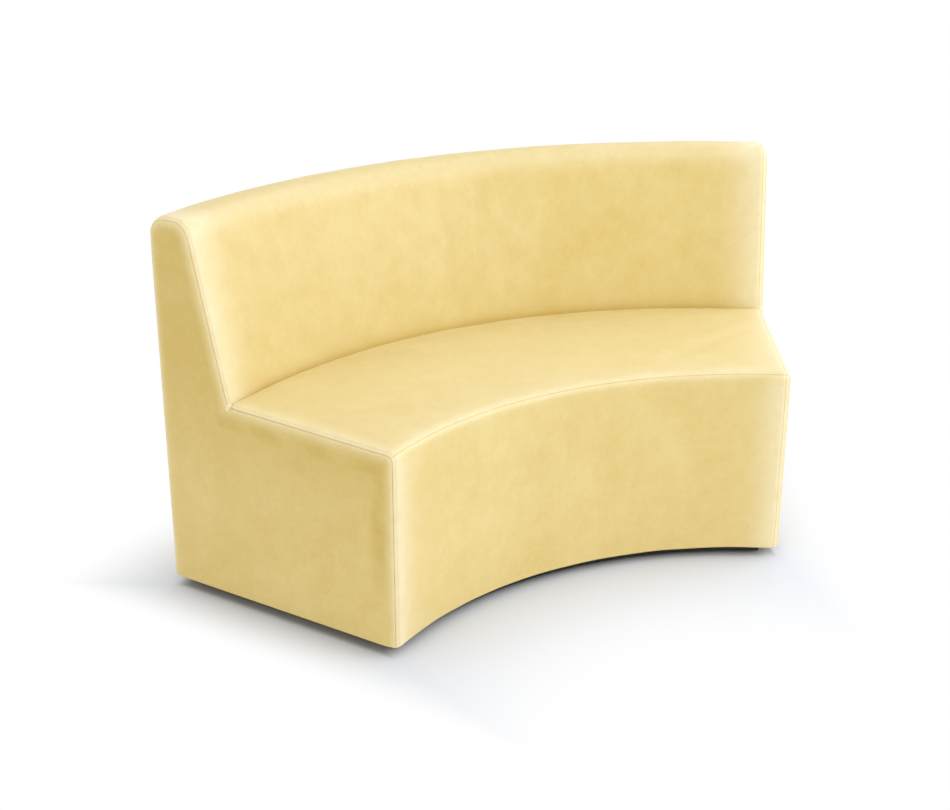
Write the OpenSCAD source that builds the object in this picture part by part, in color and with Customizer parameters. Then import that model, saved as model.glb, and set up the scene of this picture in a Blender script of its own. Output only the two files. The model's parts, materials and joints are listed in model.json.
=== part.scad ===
/* [Plan] */
// Radius of the concave front face
front_r = 830; // [790:5:880]
// Half of the angle that the front face spans
front_half_angle = 35; // [31:1:37]
// Angle between each end face and the centre line
end_angle = 29; // [27:1:31]
// Depth of the bench in its middle, from the front face to the outside back
bench_depth = 620; // [590:5:670]
// How far the centre of the back's arc lies behind the centre of the front arc
back_centre_y = 170; // [160:5:200]
// Width of the back's top in the middle of the bench
back_top_w = 95; // [92:1:125]
// How far the centre of the outside back lies behind the centre of the front arc
rear_centre_y = 120; // [100:5:150]

/* [Heights] */
// Top of the back above the floor
overall_h = 830; // [800:5:900]
// Seam along the front edge of the seat above the floor
seat_front_h = 447; // [420:1:480]
// How much higher the seat lies at the back than at the front seam
seat_rise = 13; // [5:1:20]
// How far the back leans from the seat to its top
back_lean = 84; // [60:2:96]
// Underside of the upholstery above the floor
base_clear = 25; // [20:1:60]

/* [Upholstery] */
// Thickness of the leather cover with its backing
cover_t = 1.5; // [1:0.1:2.5]
// Crown of the seat above its seams
seat_crown = 12; // [4:1:20]
// Crown of the inside back
back_crown = 8; // [2:1:14]
// Crown of the front
front_crown = 4; // [1:1:8]
// Crown of the outside back
rear_crown = 2; // [0.5:0.5:5]
// Rounding of the front edge of the seat
seat_edge_r = 20; // [16:1:26]
// Rounding at the top of the inside back
top_front_r = 45; // [30:1:46]
// Rounding at the top of the outside back
top_rear_r = 45; // [30:1:48]
// Rounding round the end faces
end_edge_r = 22; // [18:1:24]
// Rounding along the underside
bottom_edge_r = 4; // [3:0.5:6]
// Rounding of the seat where it meets the back
crease_edge_r = 14; // [8:1:18]
// How deep the covers are tucked in between seat and back
tuck_depth = 30; // [20:1:45]
// Thickness of the seat foam at the front edge
seat_foam_t = 60; // [45:1:80]
// Thickness of the foam on the inside back
back_foam_t = 35; // [25:1:40]
// Thickness of the padding on the front
front_pad_t = 12; // [8:1:20]
// Thickness of the padding on each end
end_pad_t = 10; // [8:1:14]
// Thickness of the wadding on the outside back
wadding_t = 5; // [3:0.5:8]

/* [Timber frame] */
// Thickness of the end frames, the ribs and the rails
ply_t = 18; // [15:1:20]
// Thickness of the seat deck
deck_t = 12; // [9:1:15]
// Thickness of the base panel
base_t = 15; // [12:1:18]
// Thickness of the bent boards on the front and the inside back
board_t = 5; // [4:0.5:6]
// Thickness of the bent board on the outside back
rear_board_t = 4; // [3:0.5:6]
// Height of the two rails that carry the deck
seat_rail_h = 80; // [60:1:100]
// Height of the two rails on the base panel
base_rail_h = 60; // [40:1:80]
// Leg of the triangular corner blocks
corner_leg = 36; // [24:1:45]
// Radius of the vent holes in the deck
vent_r = 12; // [8:1:18]

/* [Plinth] */
// How far the plinth stands back from the front face
plinth_front_in = 25; // [22:1:50]
// How far the plinth stands back from the outside back
plinth_rear_in = 15; // [14:1:50]
// How far the plinth stands back from the end faces
plinth_end_in = 42; // [35:1:60]
// Width of the plinth's strips
plinth_w = 70; // [60:1:80]
// Height of the floor glides
glide_h = 6; // [5:0.5:10]
// Radius of the floor glides
glide_r = 11; // [9:1:15]

/* [Hidden] */

// Facets of a full circle on the large arcs and on the small round pieces
arc_fn = 240;
small_fn = 48;
// Steps along the bench for the soft pieces, and for the convex outside back
arc_steps = 24;
rear_steps = 32;

// Clearance between pieces that lie on each other along a curve
fit_gap = 0.3;
// Least rounding that is left on the inner side of a cover
least_round = 0.4;
// Turn at which the end seams and the front seam lie on their rounded edges
seam_turn = 45;
// Thickness of the cloth under the base
dust_t = 1;
// Where the stations of a rounded end lie, from its flat side to the next seam
turn_shares = [1 / 3, 2 / 3, 1];
// Turns of the rounding at the top of the outside back
top_rear_turns = [90, 67.5, 45, 22.5, 0];
// How much of the crease rounding is left at the ends
crease_end_share = 0.3;
// Where the points of each face lie between its edges
face_shares = [0.12, 0.35, 0.65, 0.88];
pad_shares = [0.12, 0.35, 0.65];
seat_shares = [0.06, 0.2, 0.4, 0.6, 0.8, 0.94];
slope_shares = [0, 0.12, 0.35, 0.65, 0.9];
end_slope_shares = [0.25, 0.5, 0.75];
// How fast the crowns fade towards the seams: across the face and along the bench
across_power = 3;
along_power = 8;
// Places of the ribs and the vents along the bench, as shares of half the arc
rib_shares = [-0.5, 0, 0.5];
vent_shares = [-0.76, -0.25, 0.25, 0.76];
vent_depth_share = 0.45;
// Screws and nails
screw_r = 2;
screw_l = 32;
screw_head_r = 4;
nail_r = 1.25;
nail_l = 16;
nail_head_r = 3.5;
nail_head_t = 1.2;
hole_gap = 0.1;
glide_recess = 2.5;
glide_foot_share = 0.85;
// How far the middles of the corner glides lie from the ends of the plinth
glide_corner_in = 10;
// Leather turned under the ends, measured from the end face
end_turn_in = 27;
// How far the turned-under leather starts behind the rounded corners
end_turn_clear = 1;
// Gap that keeps a cover's turned edge clear of the plinth
turn_gap = 2;
// Overrun of cutting solids past the faces that they cut
over = 20;

// Radius of the convex outside back
rear_r = front_r + bench_depth - rear_centre_y;
crease_h = seat_front_h + seat_rise;
// Radius of the arc where the back meets the seat
crease_r = rear_centre_y + rear_r - back_top_w - back_lean - back_centre_y;
lean_angle = atan(back_lean / (overall_h - crease_h));
end_dir = [sin(end_angle), cos(end_angle)];
end_normal = [cos(end_angle), -sin(end_angle)];
front_corner = front_r * [sin(front_half_angle), cos(front_half_angle)];
apex_y = front_corner[1] - front_corner[0] / tan(end_angle);
reach = (rear_centre_y + rear_r - apex_y) / cos(end_angle) + over;

// Set-back of each layer from the finished surface
foam_in = cover_t + fit_gap;
front_board_in = foam_in + front_pad_t + fit_gap;
front_frame_in = front_board_in + board_t + fit_gap;
back_board_in = foam_in + back_foam_t + fit_gap;
back_frame_in = back_board_in + board_t + fit_gap;
rear_board_in = foam_in + wadding_t + fit_gap;
rear_frame_in = rear_board_in + rear_board_t + fit_gap;
end_frame_in = foam_in + end_pad_t + fit_gap;
end_inner_in = end_frame_in + ply_t;
// Extra set-back of the foam's flat ends, which keeps them inside the chords of the rounded covers
end_ease = end_edge_r - foam_in - sqrt(pow(end_edge_r - foam_in, 2) - pow(end_edge_r - end_frame_in, 2))
    + (end_edge_r - cover_t) * (1 - cos(seam_turn * turn_shares[0] / 2));

// Heights of the layers
base_z = base_clear + cover_t + fit_gap;
base_top = base_z + base_t;
pad_z = base_clear + cover_t + bottom_edge_r;
deck_top = seat_front_h - cover_t - fit_gap - seat_foam_t;
deck_under = deck_top - deck_t;
cap_top = overall_h - top_rear_r - fit_gap;
cap_under = cap_top - ply_t;
plinth_top = base_z - dust_t;
tuck_z = crease_h - tuck_depth;

front_turn_r = front_r + plinth_front_in - turn_gap;
rear_turn_r = rear_r - plinth_rear_in + turn_gap;
end_turn_front_r = max(front_turn_r + fit_gap, front_r + end_edge_r + end_turn_clear);
end_turn_rear_r = min(rear_turn_r - fit_gap, rear_r - end_edge_r - end_turn_clear);
deck_rear_r = slope_r(deck_top, back_board_in + board_t);

// The foremost points are the rounded front corners, the rearmost is the crown of the outside back
edge_turns = [for (v = turn_shares) each [seam_turn * v, between(seam_turn, 90, v)]];
front_limit_y = min([for (a = edge_turns) let(st = edge_station(1, a, 0))
    arc_point(1, front_r + st[2], 0, st[1])[1]]);
rear_limit_y = rear_centre_y + rear_r + rear_crown;
origin_y = (front_limit_y + rear_limit_y) / 2;

// Point where a circle about [0, cy] meets the right-hand end plane, set back by inset
function end_point(r, cy, inset) = let(
    from = front_corner - inset * end_normal,
    o = from - [0, cy],
    b = o * end_dir
) from + (sqrt(b * b - o * o + r * r) - b) * end_dir;

// Point on that circle at a share u of the half arc, from -1 at the left end to 1 at the right end
function arc_point(u, r, cy, inset) = let(
    p = end_point(r, cy, inset),
    a = u * atan2(p[0], p[1] - cy)
) [r * sin(a), cy + r * cos(a)];

// Radius of the sloped back at a height, set back square to the slope
function slope_r(z, inset) =
    crease_r + back_lean * (z - crease_h) / (overall_h - crease_h)
    + (fit_gap / 2 + inset) / cos(lean_angle);

// Crown across a face and along the bench, from 0 at a seam to 1 in the middle
function across(v) = 1 - pow(abs(2 * v - 1), across_power);
function along(u) = 1 - pow(abs(u), along_power);
function between(a, b, v) = a + (b - a) * v;

// A row of the loft is [radius, centre, radius, centre, share of the second, height]
function front_row(r, z) = [r, 0, r, 0, 0, z];
function back_row(r, z) = [r, back_centre_y, r, back_centre_y, 0, z];
function rear_row(r, z) = [r, rear_centre_y, r, rear_centre_y, 0, z];
function seat_row(ra, rb, v, z) = [ra, 0, rb, back_centre_y, v, z];

// A station is [share of the half arc, end plane's inset, set-back, set-back below, crown share]
function middle_station(u, inset, s) = [u, inset, s, s, along(u)];
function edge_station(side, a, s) = let(
    d = end_edge_r - (end_edge_r - s) * cos(a)
) [side, end_edge_r - (end_edge_r - s) * sin(a), d, s + (d - s) * bottom_edge_r / end_edge_r, 0];

// Stations of a cover, whose ends turn round the rounded edges as far as the seams
function face_stations(s, steps) = [for (i = [0:steps]) middle_station(2 * i / steps - 1, end_edge_r, s)];
function cover_stations(s, steps) = concat(
    [for (i = [len(turn_shares) - 1:-1:0]) edge_station(-1, seam_turn * turn_shares[i], s)],
    face_stations(s, steps),
    [for (v = turn_shares) edge_station(1, seam_turn * v, s)]
);

// Stations of a foam, whose ends are flat against the end padding
function foam_end(side) = [middle_station(side, end_frame_in, foam_in + end_ease)];
function foam_stations(steps) = concat(foam_end(-1), face_stations(foam_in, steps), foam_end(1));

function spot(row, st) = let(
    a = arc_point(st[0], row[0], row[1], st[1]),
    b = arc_point(st[0], row[2], row[3], st[1]),
    p = a + (b - a) * row[4]
) [p[0], p[1], row[5]];

function turn_gap_angle(r) = fit_gap / 2 / r * 180 / PI;

// Rounded front edge of the seat between two turns, 0 facing forwards and 90 facing up
function seat_edge_rows(d, turns) = let(m = max(d, seat_edge_r), q = max(seat_edge_r - d, least_round))
    [for (a = turns) front_row(front_r + m - q * cos(a), seat_front_h - m + q * sin(a))];

function front_face_rows(d, e, shares) = [
    for (v = shares) front_row(
        front_r + d - front_crown * e * across(v),
        between(base_clear + bottom_edge_r, seat_front_h - seat_edge_r, v)
    )
];

// Rounding at the foot of a face that is set back by d, over an underside that is set back by b
function bottom_round(b) = max(bottom_edge_r - b, least_round);
function bottom_front_rows(d, b, turns) = let(q = bottom_round(b))
    [for (a = turns) front_row(front_r + d + q * (1 - cos(a)), base_clear + b + q * (1 - sin(a)))];

function seat_face_rows(d, e, shares) = let(m = max(d, seat_edge_r), rear = crease_centre(d, e))
    [for (v = shares) seat_row(
        front_r + m, rear[0], v,
        between(seat_front_h, crease_h, v) - d + seat_crown * e * across(v)
    )];

// Centre of the seat's rounding at the crease, which gets tight towards the ends
function crease_round(e) = crease_edge_r * between(crease_end_share, 1, e);
function crease_centre(d, e) = let(c = max(d, crease_round(e)))
    [slope_r(crease_h - c, -fit_gap / 2) - (c + fit_gap / 2) / cos(lean_angle), crease_h - c];

function crease_rows(d, e) = let(
    p = crease_centre(d, e),
    q = max(crease_round(e) - d, least_round)
) [for (a = [90, 45, -lean_angle]) back_row(p[0] + q * cos(a), p[1] + q * sin(a))];

// The tuck runs out at the ends, where the end padding lies
function tuck_end(d, e) = let(c = max(d, crease_round(e)) + least_round)
    between(crease_h - c, min(tuck_z, crease_h - c), min(1, 3 * e));

function slope_face_rows(d, e, shares) = [
    for (v = shares) let(z = between(crease_h, overall_h - top_front_r, v))
        back_row(slope_r(z, d - back_crown * e * across(v)), z)
];

function top_front_rows(d) = let(
    z = overall_h - top_front_r,
    r = slope_r(z, top_front_r),
    q = top_front_r - d,
    first = 180 - lean_angle
) [for (v = [0, 0.25, 0.5, 0.75, 1]) let(a = between(first, 90, v)) back_row(r + q * cos(a), z + q * sin(a))];

function top_rear_rows(d) = let(q = top_rear_r - d, z = overall_h - top_rear_r)
    [for (a = top_rear_turns) rear_row(rear_r - top_rear_r + q * cos(a), z + q * sin(a))];

function rear_face_rows(d, e, shares) = [
    for (v = shares) rear_row(
        rear_r - d + rear_crown * e * across(v),
        between(overall_h - top_rear_r - fit_gap, base_clear + bottom_edge_r, v)
    )
];

function bottom_rear_rows(d, b, turns) = let(q = bottom_round(b))
    [for (a = turns) rear_row(rear_r - d - q * (1 - cos(a)), base_clear + b + q * (1 - sin(a)))];

// Outer or inner side of each cover, as the rows of one station
function seat_cover_rows(st) = concat(
    seat_edge_rows(st[2], [seam_turn + turn_gap_angle(seat_edge_r), 67.5, 90]),
    seat_face_rows(st[2], st[4], seat_shares),
    crease_rows(st[2], st[4]),
    [let(z = tuck_end(st[2], st[4])) back_row(slope_r(z, -fit_gap - st[2]), z)]
);
function front_cover_rows(st) = concat(
    [front_row(front_turn_r, base_clear + st[3])],
    bottom_front_rows(st[2], st[3], [90, 45]),
    front_face_rows(st[2], st[4], concat([0], face_shares)),
    seat_edge_rows(st[2], [0, 22.5, seam_turn - turn_gap_angle(seat_edge_r)])
);
function inside_back_cover_rows(st) = concat(
    [let(z = tuck_end(st[2], st[4])) back_row(slope_r(z, st[2]), z)],
    slope_face_rows(st[2], st[4], slope_shares),
    top_front_rows(st[2]),
    top_rear_rows(st[2])
);
function outside_back_cover_rows(st) = concat(
    rear_face_rows(st[2], st[4], concat([0], face_shares, [1])),
    bottom_rear_rows(st[2], st[3], [45, 90]),
    [rear_row(rear_turn_r, base_clear + st[3])]
);

// Solid between an outer and an inner grid of points
module skin(outer, inner) {
    n = len(outer);
    m = len(outer[0]);
    k = n * m;
    function quad(a, b, c, d) = [[a, d, c], [a, c, b]];
    polyhedron(
        points = concat([for (row = outer) each row], [for (row = inner) each row]),
        faces = concat(
            [for (i = [0:n - 2], j = [0:m - 2]) let(a = i * m + j) each quad(a, a + m, a + m + 1, a + 1)],
            [for (i = [0:n - 2], j = [0:m - 2]) let(a = k + i * m + j) each quad(a, a + 1, a + m + 1, a + m)],
            [for (i = [0:n - 2]) let(a = i * m) each quad(a, a + k, a + k + m, a + m)],
            [for (i = [0:n - 2]) let(a = i * m + m - 1) each quad(a, a + m, a + k + m, a + k)],
            [for (j = [0:m - 2]) each quad(j, j + 1, j + 1 + k, j + k)],
            [for (j = [0:m - 2]) let(a = (n - 1) * m + j) each quad(a, a + k, a + 1 + k, a + 1)]
        ),
        convexity = 8
    );
}

// Flat faces as triangles round a hub, as lists of three places in a loop, and their turned-over copies
function fan(hub, list) = [for (i = [0:len(list) - 2]) [hub, list[i], list[i + 1]]];
function loop_fan(hub, m) = fan(hub, [for (i = [1:m - 1]) (hub + i) % m]);
function moved(triangles, start) = [for (t = triangles) [start + t[0], start + t[1], start + t[2]]];
function turned(triangles, start) = [for (t = triangles) [start + t[0], start + t[2], start + t[1]]];

// Solid swept through closed loops, with a flat face at each end
module swept(loops, cap) {
    n = len(loops);
    m = len(loops[0]);
    polyhedron(
        points = [for (loop = loops) each loop],
        faces = concat(
            [for (i = [0:n - 2], j = [0:m - 1]) let(a = i * m + j, b = i * m + (j + 1) % m)
                each [[a, b, b + m], [a, b + m, a + m]]],
            turned(cap, 0),
            moved(cap, (n - 1) * m)
        ),
        convexity = 8
    );
}

// Dished end panel of two sets of rings, with its last edge drawn out into a flap
module dished(outer, inner, cap, flap_outer, flap_inner) {
    n = len(outer);
    m = len(outer[0]);
    k = n * m;
    q = len(flap_outer);
    f = 2 * k;
    g = f + 2 * q;
    // Places of the flap's two sides, row by row, on the outer and on the inner face
    outer_a = concat([m - 2], [for (i = [0:q - 1]) f + 2 * i]);
    outer_b = concat([m - 1], [for (i = [0:q - 1]) f + 2 * i + 1]);
    inner_a = concat([k + m - 2], [for (i = [0:q - 1]) g + 2 * i]);
    inner_b = concat([k + m - 1], [for (i = [0:q - 1]) g + 2 * i + 1]);
    function quad(a, b, c, d) = [[a, b, c], [a, c, d]];
    polyhedron(
        points = concat(
            [for (ring = outer) each ring], [for (ring = inner) each ring],
            [for (row = flap_outer) each row], [for (row = flap_inner) each row]
        ),
        faces = concat(
            [for (i = [0:n - 2], j = [0:m - 1]) let(a = i * m + j, b = i * m + (j + 1) % m)
                each quad(a, b, b + m, a + m)],
            [for (i = [0:n - 2], j = [0:m - 1]) let(a = k + i * m + j, b = k + i * m + (j + 1) % m)
                each quad(b, a, a + m, b + m)],
            [for (j = [0:m - 1]) let(b = (j + 1) % m) if (j != m - 2) each quad(j, j + k, b + k, b)],
            moved(cap, (n - 1) * m),
            turned(cap, k + (n - 1) * m),
            [for (i = [0:q - 1]) each concat(
                quad(outer_b[i], outer_a[i], outer_a[i + 1], outer_b[i + 1]),
                quad(inner_a[i], inner_b[i], inner_b[i + 1], inner_a[i + 1]),
                quad(outer_a[i], inner_a[i], inner_a[i + 1], outer_a[i + 1]),
                quad(inner_b[i], outer_b[i], outer_b[i + 1], inner_b[i + 1])
            )],
            quad(outer_b[q], outer_a[q], inner_a[q], inner_b[q])
        ),
        convexity = 8
    );
}

module placed() {
    translate([0, -origin_y, 0]) children();
}

// Space between the two end planes, set back by inset
module between_ends(inset, z0, z1) {
    translate([0, apex_y + inset / sin(end_angle), z0])
        linear_extrude(z1 - z0)
            polygon([[0, 0], reach * [end_dir[0], end_dir[1]], reach * [-end_dir[0], end_dir[1]]]);
}

// Slab along the right-hand end plane between two insets
module end_slab(outer_in, inner_in, z0, z1) {
    from = front_corner - outer_in * end_normal - over * end_dir;
    translate([from[0], from[1], z0])
        rotate([0, 0, 90 - end_angle])
            cube([reach, inner_in - outer_in, z1 - z0]);
}

module disc(r, cy, z0, z1) {
    translate([0, cy, z0]) cylinder(r = r, h = z1 - z0, $fn = arc_fn);
}

// Curved strip of constant width between the end planes
module arc_strip(r0, r1, cy, z0, z1, inset) {
    intersection() {
        difference() {
            disc(r1, cy, z0, z1);
            disc(r0, cy, z0 - over, z1 + over);
        }
        between_ends(inset, z0 - over, z1 + over);
    }
}

// Plate that follows the front arc and the rear arc
module plate(front_in, rear_in, inset, z0, z1) {
    intersection() {
        difference() {
            disc(rear_r - rear_in, rear_centre_y, z0, z1);
            disc(front_r + front_in, 0, z0 - over, z1 + over);
        }
        between_ends(inset, z0 - over, z1 + over);
    }
}

// Everything in front of the sloped back, set back by inset
module before_slope(inset, z0, z1) {
    translate([0, back_centre_y, 0])
        rotate_extrude($fn = arc_fn)
            polygon([[0, z0], [slope_r(z0, inset), z0], [slope_r(z1, inset), z1], [0, z1]]);
}

// Profile of the timber frame: the box under the seat and the upright behind it
module frame_core(seat_z, top_z) {
    difference() {
        disc(rear_r - rear_frame_in, rear_centre_y, base_top, top_z);
        disc(front_r + front_frame_in, 0, base_top - over, top_z + over);
        before_slope(back_frame_in, seat_z, top_z + over);
        disc(deck_rear_r + fit_gap, back_centre_y, seat_z, deck_top);
    }
}

// Round hole or shank at a place in plan
module post(p, r, z0, z1) {
    translate([p[0], p[1], z0]) cylinder(r = r, h = z1 - z0, $fn = small_fn);
}

// Cone of a screw's head, from its wide underside
module screw_cone(p, gap) {
    translate([p[0], p[1], glide_h])
        cylinder(r1 = screw_head_r + gap, r2 = screw_r + gap, h = screw_head_r - screw_r, $fn = small_fn);
}

// Middles of the plinth's strips, where glides and screws go
plinth_mid_front_r = front_r + plinth_front_in + plinth_w / 2;
plinth_mid_rear_r = rear_r - plinth_rear_in - plinth_w / 2;
plinth_mid_end = plinth_end_in + plinth_w / 2;
plinth_corner_in = plinth_end_in + glide_corner_in;
end_strip_mid = (end_point(plinth_mid_front_r, 0, plinth_mid_end)
    + end_point(plinth_mid_rear_r, rear_centre_y, plinth_mid_end)) / 2;
glide_places = concat(
    [for (u = [-1, 0, 1]) arc_point(u, plinth_mid_front_r, 0, plinth_corner_in)],
    [for (u = [-1, 0, 1]) arc_point(u, plinth_mid_rear_r, rear_centre_y, plinth_corner_in)],
    [end_strip_mid, [-end_strip_mid[0], end_strip_mid[1]]]
);
screw_shares = [-0.75, -0.25, 0.25, 0.75];
screw_places = concat(
    [for (u = screw_shares) arc_point(u, plinth_mid_front_r, 0, plinth_mid_end)],
    [for (u = screw_shares) arc_point(u, plinth_mid_rear_r, rear_centre_y, plinth_mid_end)]
);

module nail_holes() {
    for (p = glide_places) post(p, nail_r + hole_gap, glide_h - over, glide_h + nail_l + hole_gap);
}
module screw_holes() {
    for (p = screw_places) {
        post(p, screw_r + hole_gap, glide_h - over, glide_h + screw_l + hole_gap);
        screw_cone(p, hole_gap);
    }
}

module plinth_front_strip() {
    r = front_r + plinth_front_in;
    placed() color("#1c1b1a") difference() {
        arc_strip(r, r + plinth_w, 0, glide_h, plinth_top, plinth_end_in);
        nail_holes();
        screw_holes();
    }
}
module plinth_rear_strip() {
    r = rear_r - plinth_rear_in;
    placed() color("#1c1b1a") difference() {
        arc_strip(r - plinth_w, r, rear_centre_y, glide_h, plinth_top, plinth_end_in);
        nail_holes();
        screw_holes();
    }
}

// Space between the front and the rear strip of the plinth
module between_strips() {
    difference() {
        disc(rear_r - plinth_rear_in - plinth_w - fit_gap, rear_centre_y, glide_h, plinth_top);
        disc(front_r + plinth_front_in + plinth_w + fit_gap, 0, glide_h - over, plinth_top + over);
    }
}
module plinth_end_right() {
    placed() color("#1c1b1a") difference() {
        intersection() {
            end_slab(plinth_end_in, plinth_end_in + plinth_w, glide_h - over, plinth_top + over);
            between_strips();
        }
        nail_holes();
    }
}
module plinth_end_left() {
    mirror([1, 0, 0]) plinth_end_right();
}

// Straight slab across the bench at a share of the half arc
module cross_slab(u, w, z0, z1) {
    a = arc_point(u, front_r, 0, 0);
    b = arc_point(u, rear_r, rear_centre_y, 0);
    translate([a[0], a[1], z0])
        rotate([0, 0, atan2(b[1] - a[1], b[0] - a[0])])
            translate([-over, -w / 2, 0]) cube([reach, w, z1 - z0]);
}
module plinth_cross_members() {
    placed() color("#1c1b1a") for (u = rib_shares) intersection() {
        cross_slab(u, plinth_w, glide_h - over, plinth_top + over);
        between_strips();
    }
}

// Felt-faced plastic discs, each held by one nail
module floor_glides() {
    placed() color("#2b2a29") for (p = glide_places) difference() {
        translate([p[0], p[1], 0])
            cylinder(r1 = glide_r * glide_foot_share, r2 = glide_r, h = glide_h, $fn = small_fn);
        post(p, nail_r + hole_gap, -over, glide_h + over);
        post(p, nail_head_r + hole_gap, -over, glide_recess);
    }
}
module glide_nails() {
    placed() color("#9a9a9a") for (p = glide_places) {
        post(p, nail_r, glide_recess, glide_h + nail_l);
        post(p, nail_head_r, glide_recess - nail_head_t, glide_recess);
    }
}
module plinth_screws() {
    placed() color("#b39a55") for (p = screw_places) {
        post(p, screw_r, glide_h + screw_head_r - screw_r, glide_h + screw_l);
        screw_cone(p, 0);
    }
}

module base_panel() {
    placed() color("#c9a877") difference() {
        plate(front_frame_in, rear_frame_in, end_frame_in, base_z, base_top);
        screw_holes();
    }
}
module dust_cover() {
    placed() color("#2a2a2c") difference() {
        plate(
            front_turn_r - front_r + fit_gap, rear_r - rear_turn_r + fit_gap, end_turn_in + fit_gap,
            plinth_top, base_z
        );
        screw_holes();
    }
}

module end_frame_right() {
    placed() color("#d0b184") intersection() {
        end_slab(end_frame_in, end_inner_in, base_top - over, cap_top + over);
        frame_core(deck_top, cap_top);
    }
}
module end_frame_left() {
    mirror([1, 0, 0]) end_frame_right();
}

// Rails, each let into the ribs with a clearance all round
module front_rail(z0, z1, gap) {
    arc_strip(
        front_r + front_frame_in - gap, front_r + front_frame_in + ply_t + gap, 0,
        z0 - gap, z1 + gap, end_inner_in
    );
}
module rear_rail(gap) {
    arc_strip(
        rear_r - rear_frame_in - ply_t - gap, rear_r - rear_frame_in + gap, rear_centre_y,
        base_top - gap, base_top + base_rail_h + gap, end_inner_in
    );
}
module deck_rail(gap) {
    arc_strip(
        deck_rear_r - ply_t - gap, deck_rear_r + gap, back_centre_y,
        deck_under - seat_rail_h - gap, deck_under + gap, end_inner_in
    );
}

// L-shaped rib: it carries the deck and the two boards of the back
module rib(u) {
    placed() color("#d0b184") difference() {
        intersection() {
            cross_slab(u, ply_t, base_top - over, cap_under + over);
            frame_core(deck_under, cap_under);
        }
        front_rail(base_top, base_top + base_rail_h, fit_gap);
        front_rail(deck_under - seat_rail_h, deck_under, fit_gap);
        rear_rail(fit_gap);
        deck_rail(fit_gap);
    }
}
module rib_left() {
    rib(rib_shares[0]);
}
module rib_middle() {
    rib(rib_shares[1]);
}
module rib_right() {
    rib(rib_shares[2]);
}

module front_lower_rail() {
    placed() color("#caa673") front_rail(base_top, base_top + base_rail_h, 0);
}
module front_upper_rail() {
    placed() color("#caa673") front_rail(deck_under - seat_rail_h, deck_under, 0);
}
module seat_rear_rail() {
    placed() color("#caa673") deck_rail(0);
}
module back_lower_rail() {
    placed() color("#caa673") rear_rail(0);
}
module back_top_rail() {
    placed() color("#caa673") intersection() {
        difference() {
            disc(rear_r - rear_frame_in, rear_centre_y, cap_under, cap_top);
            before_slope(back_frame_in, cap_under - over, cap_top + over);
        }
        between_ends(end_inner_in, cap_under - over, cap_top + over);
    }
}

// Triangular block in the corner between a rail and the right-hand end frame
module corner_block(r, cy, side, z0, z1) {
    p = end_point(r + side * fit_gap, cy, end_inner_in);
    leg = side * corner_leg;
    intersection() {
        translate([p[0], p[1], z0])
            rotate([0, 0, 90 - end_angle])
                linear_extrude(z1 - z0)
                    polygon([[leg, 0], [-leg, 2 * corner_leg], [-leg, 0]]);
        difference() {
            disc(side > 0 ? r + reach : r - fit_gap, cy, z0, z1);
            if (side > 0) disc(r + fit_gap, cy, z0 - over, z1 + over);
        }
    }
}
module corner_blocks() {
    placed() color("#b98f5c") for (m = [0, 1]) mirror([m, 0, 0]) {
        corner_block(front_r + front_frame_in + ply_t, 0, 1, base_top, base_top + base_rail_h);
        corner_block(front_r + front_frame_in + ply_t, 0, 1, deck_under - seat_rail_h, deck_under);
        corner_block(rear_r - rear_frame_in - ply_t, rear_centre_y, -1, base_top, base_top + base_rail_h);
        corner_block(deck_rear_r - ply_t, back_centre_y, -1, deck_under - seat_rail_h, deck_under);
    }
}

module front_board() {
    r = front_r + front_board_in;
    placed() color("#d8bd92") arc_strip(r, r + board_t, 0, base_z, deck_under, end_frame_in);
}
module seat_deck() {
    placed() color("#d8bd92") difference() {
        intersection() {
            difference() {
                disc(deck_rear_r, back_centre_y, deck_under, deck_top);
                disc(front_r + front_board_in, 0, deck_under - over, deck_top + over);
            }
            between_ends(end_inner_in, deck_under - over, deck_top + over);
        }
        for (u = vent_shares)
            post(
                between(
                    arc_point(u, front_r, 0, end_inner_in),
                    arc_point(u, deck_rear_r, back_centre_y, end_inner_in),
                    vent_depth_share
                ),
                vent_r, deck_under - over, deck_top + over
            );
    }
}
module inside_back_board() {
    placed() color("#d8bd92") intersection() {
        difference() {
            before_slope(back_board_in + board_t, deck_top, cap_top);
            before_slope(back_board_in, deck_top - over, cap_top + over);
        }
        between_ends(end_frame_in, deck_top - over, cap_top + over);
    }
}
module outside_back_board() {
    r = rear_r - rear_board_in;
    placed() color("#a98a62") arc_strip(r - rear_board_t, r, rear_centre_y, base_z, cap_top, end_frame_in);
}

module seat_foam() {
    placed() color("#efe9d6") swept([
        for (st = foam_stations(arc_steps)) [
            for (row = concat(
                [front_row(front_r + st[2], deck_top + fit_gap)],
                seat_edge_rows(st[2], [0, 45, 90]),
                seat_face_rows(st[2], st[4], seat_shares),
                crease_rows(st[2], st[4]),
                [back_row(slope_r(deck_top + fit_gap, -fit_gap - st[2]), deck_top + fit_gap)]
            )) spot(row, st)
        ]
    ], loop_fan(0, len(seat_shares) + 8));
}
module back_foam() {
    foam_z = deck_top + fit_gap;
    cap_z = overall_h - top_rear_r;
    back_in = foam_in + back_foam_t;
    last_row = len(slope_shares) + len(top_rear_turns) + 7;
    placed() color("#e9e2cc") swept([
        for (st = foam_stations(arc_steps)) [
            for (row = concat(
                [back_row(slope_r(foam_z, st[2]), foam_z)],
                slope_face_rows(st[2], st[4], slope_shares),
                top_front_rows(st[2]),
                top_rear_rows(st[2]),
                [back_row(slope_r(cap_z, back_in), cap_z), back_row(slope_r(foam_z, back_in), foam_z)]
            )) spot(row, st)
        ]
    ], loop_fan(last_row - 1, last_row + 1));
}
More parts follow.
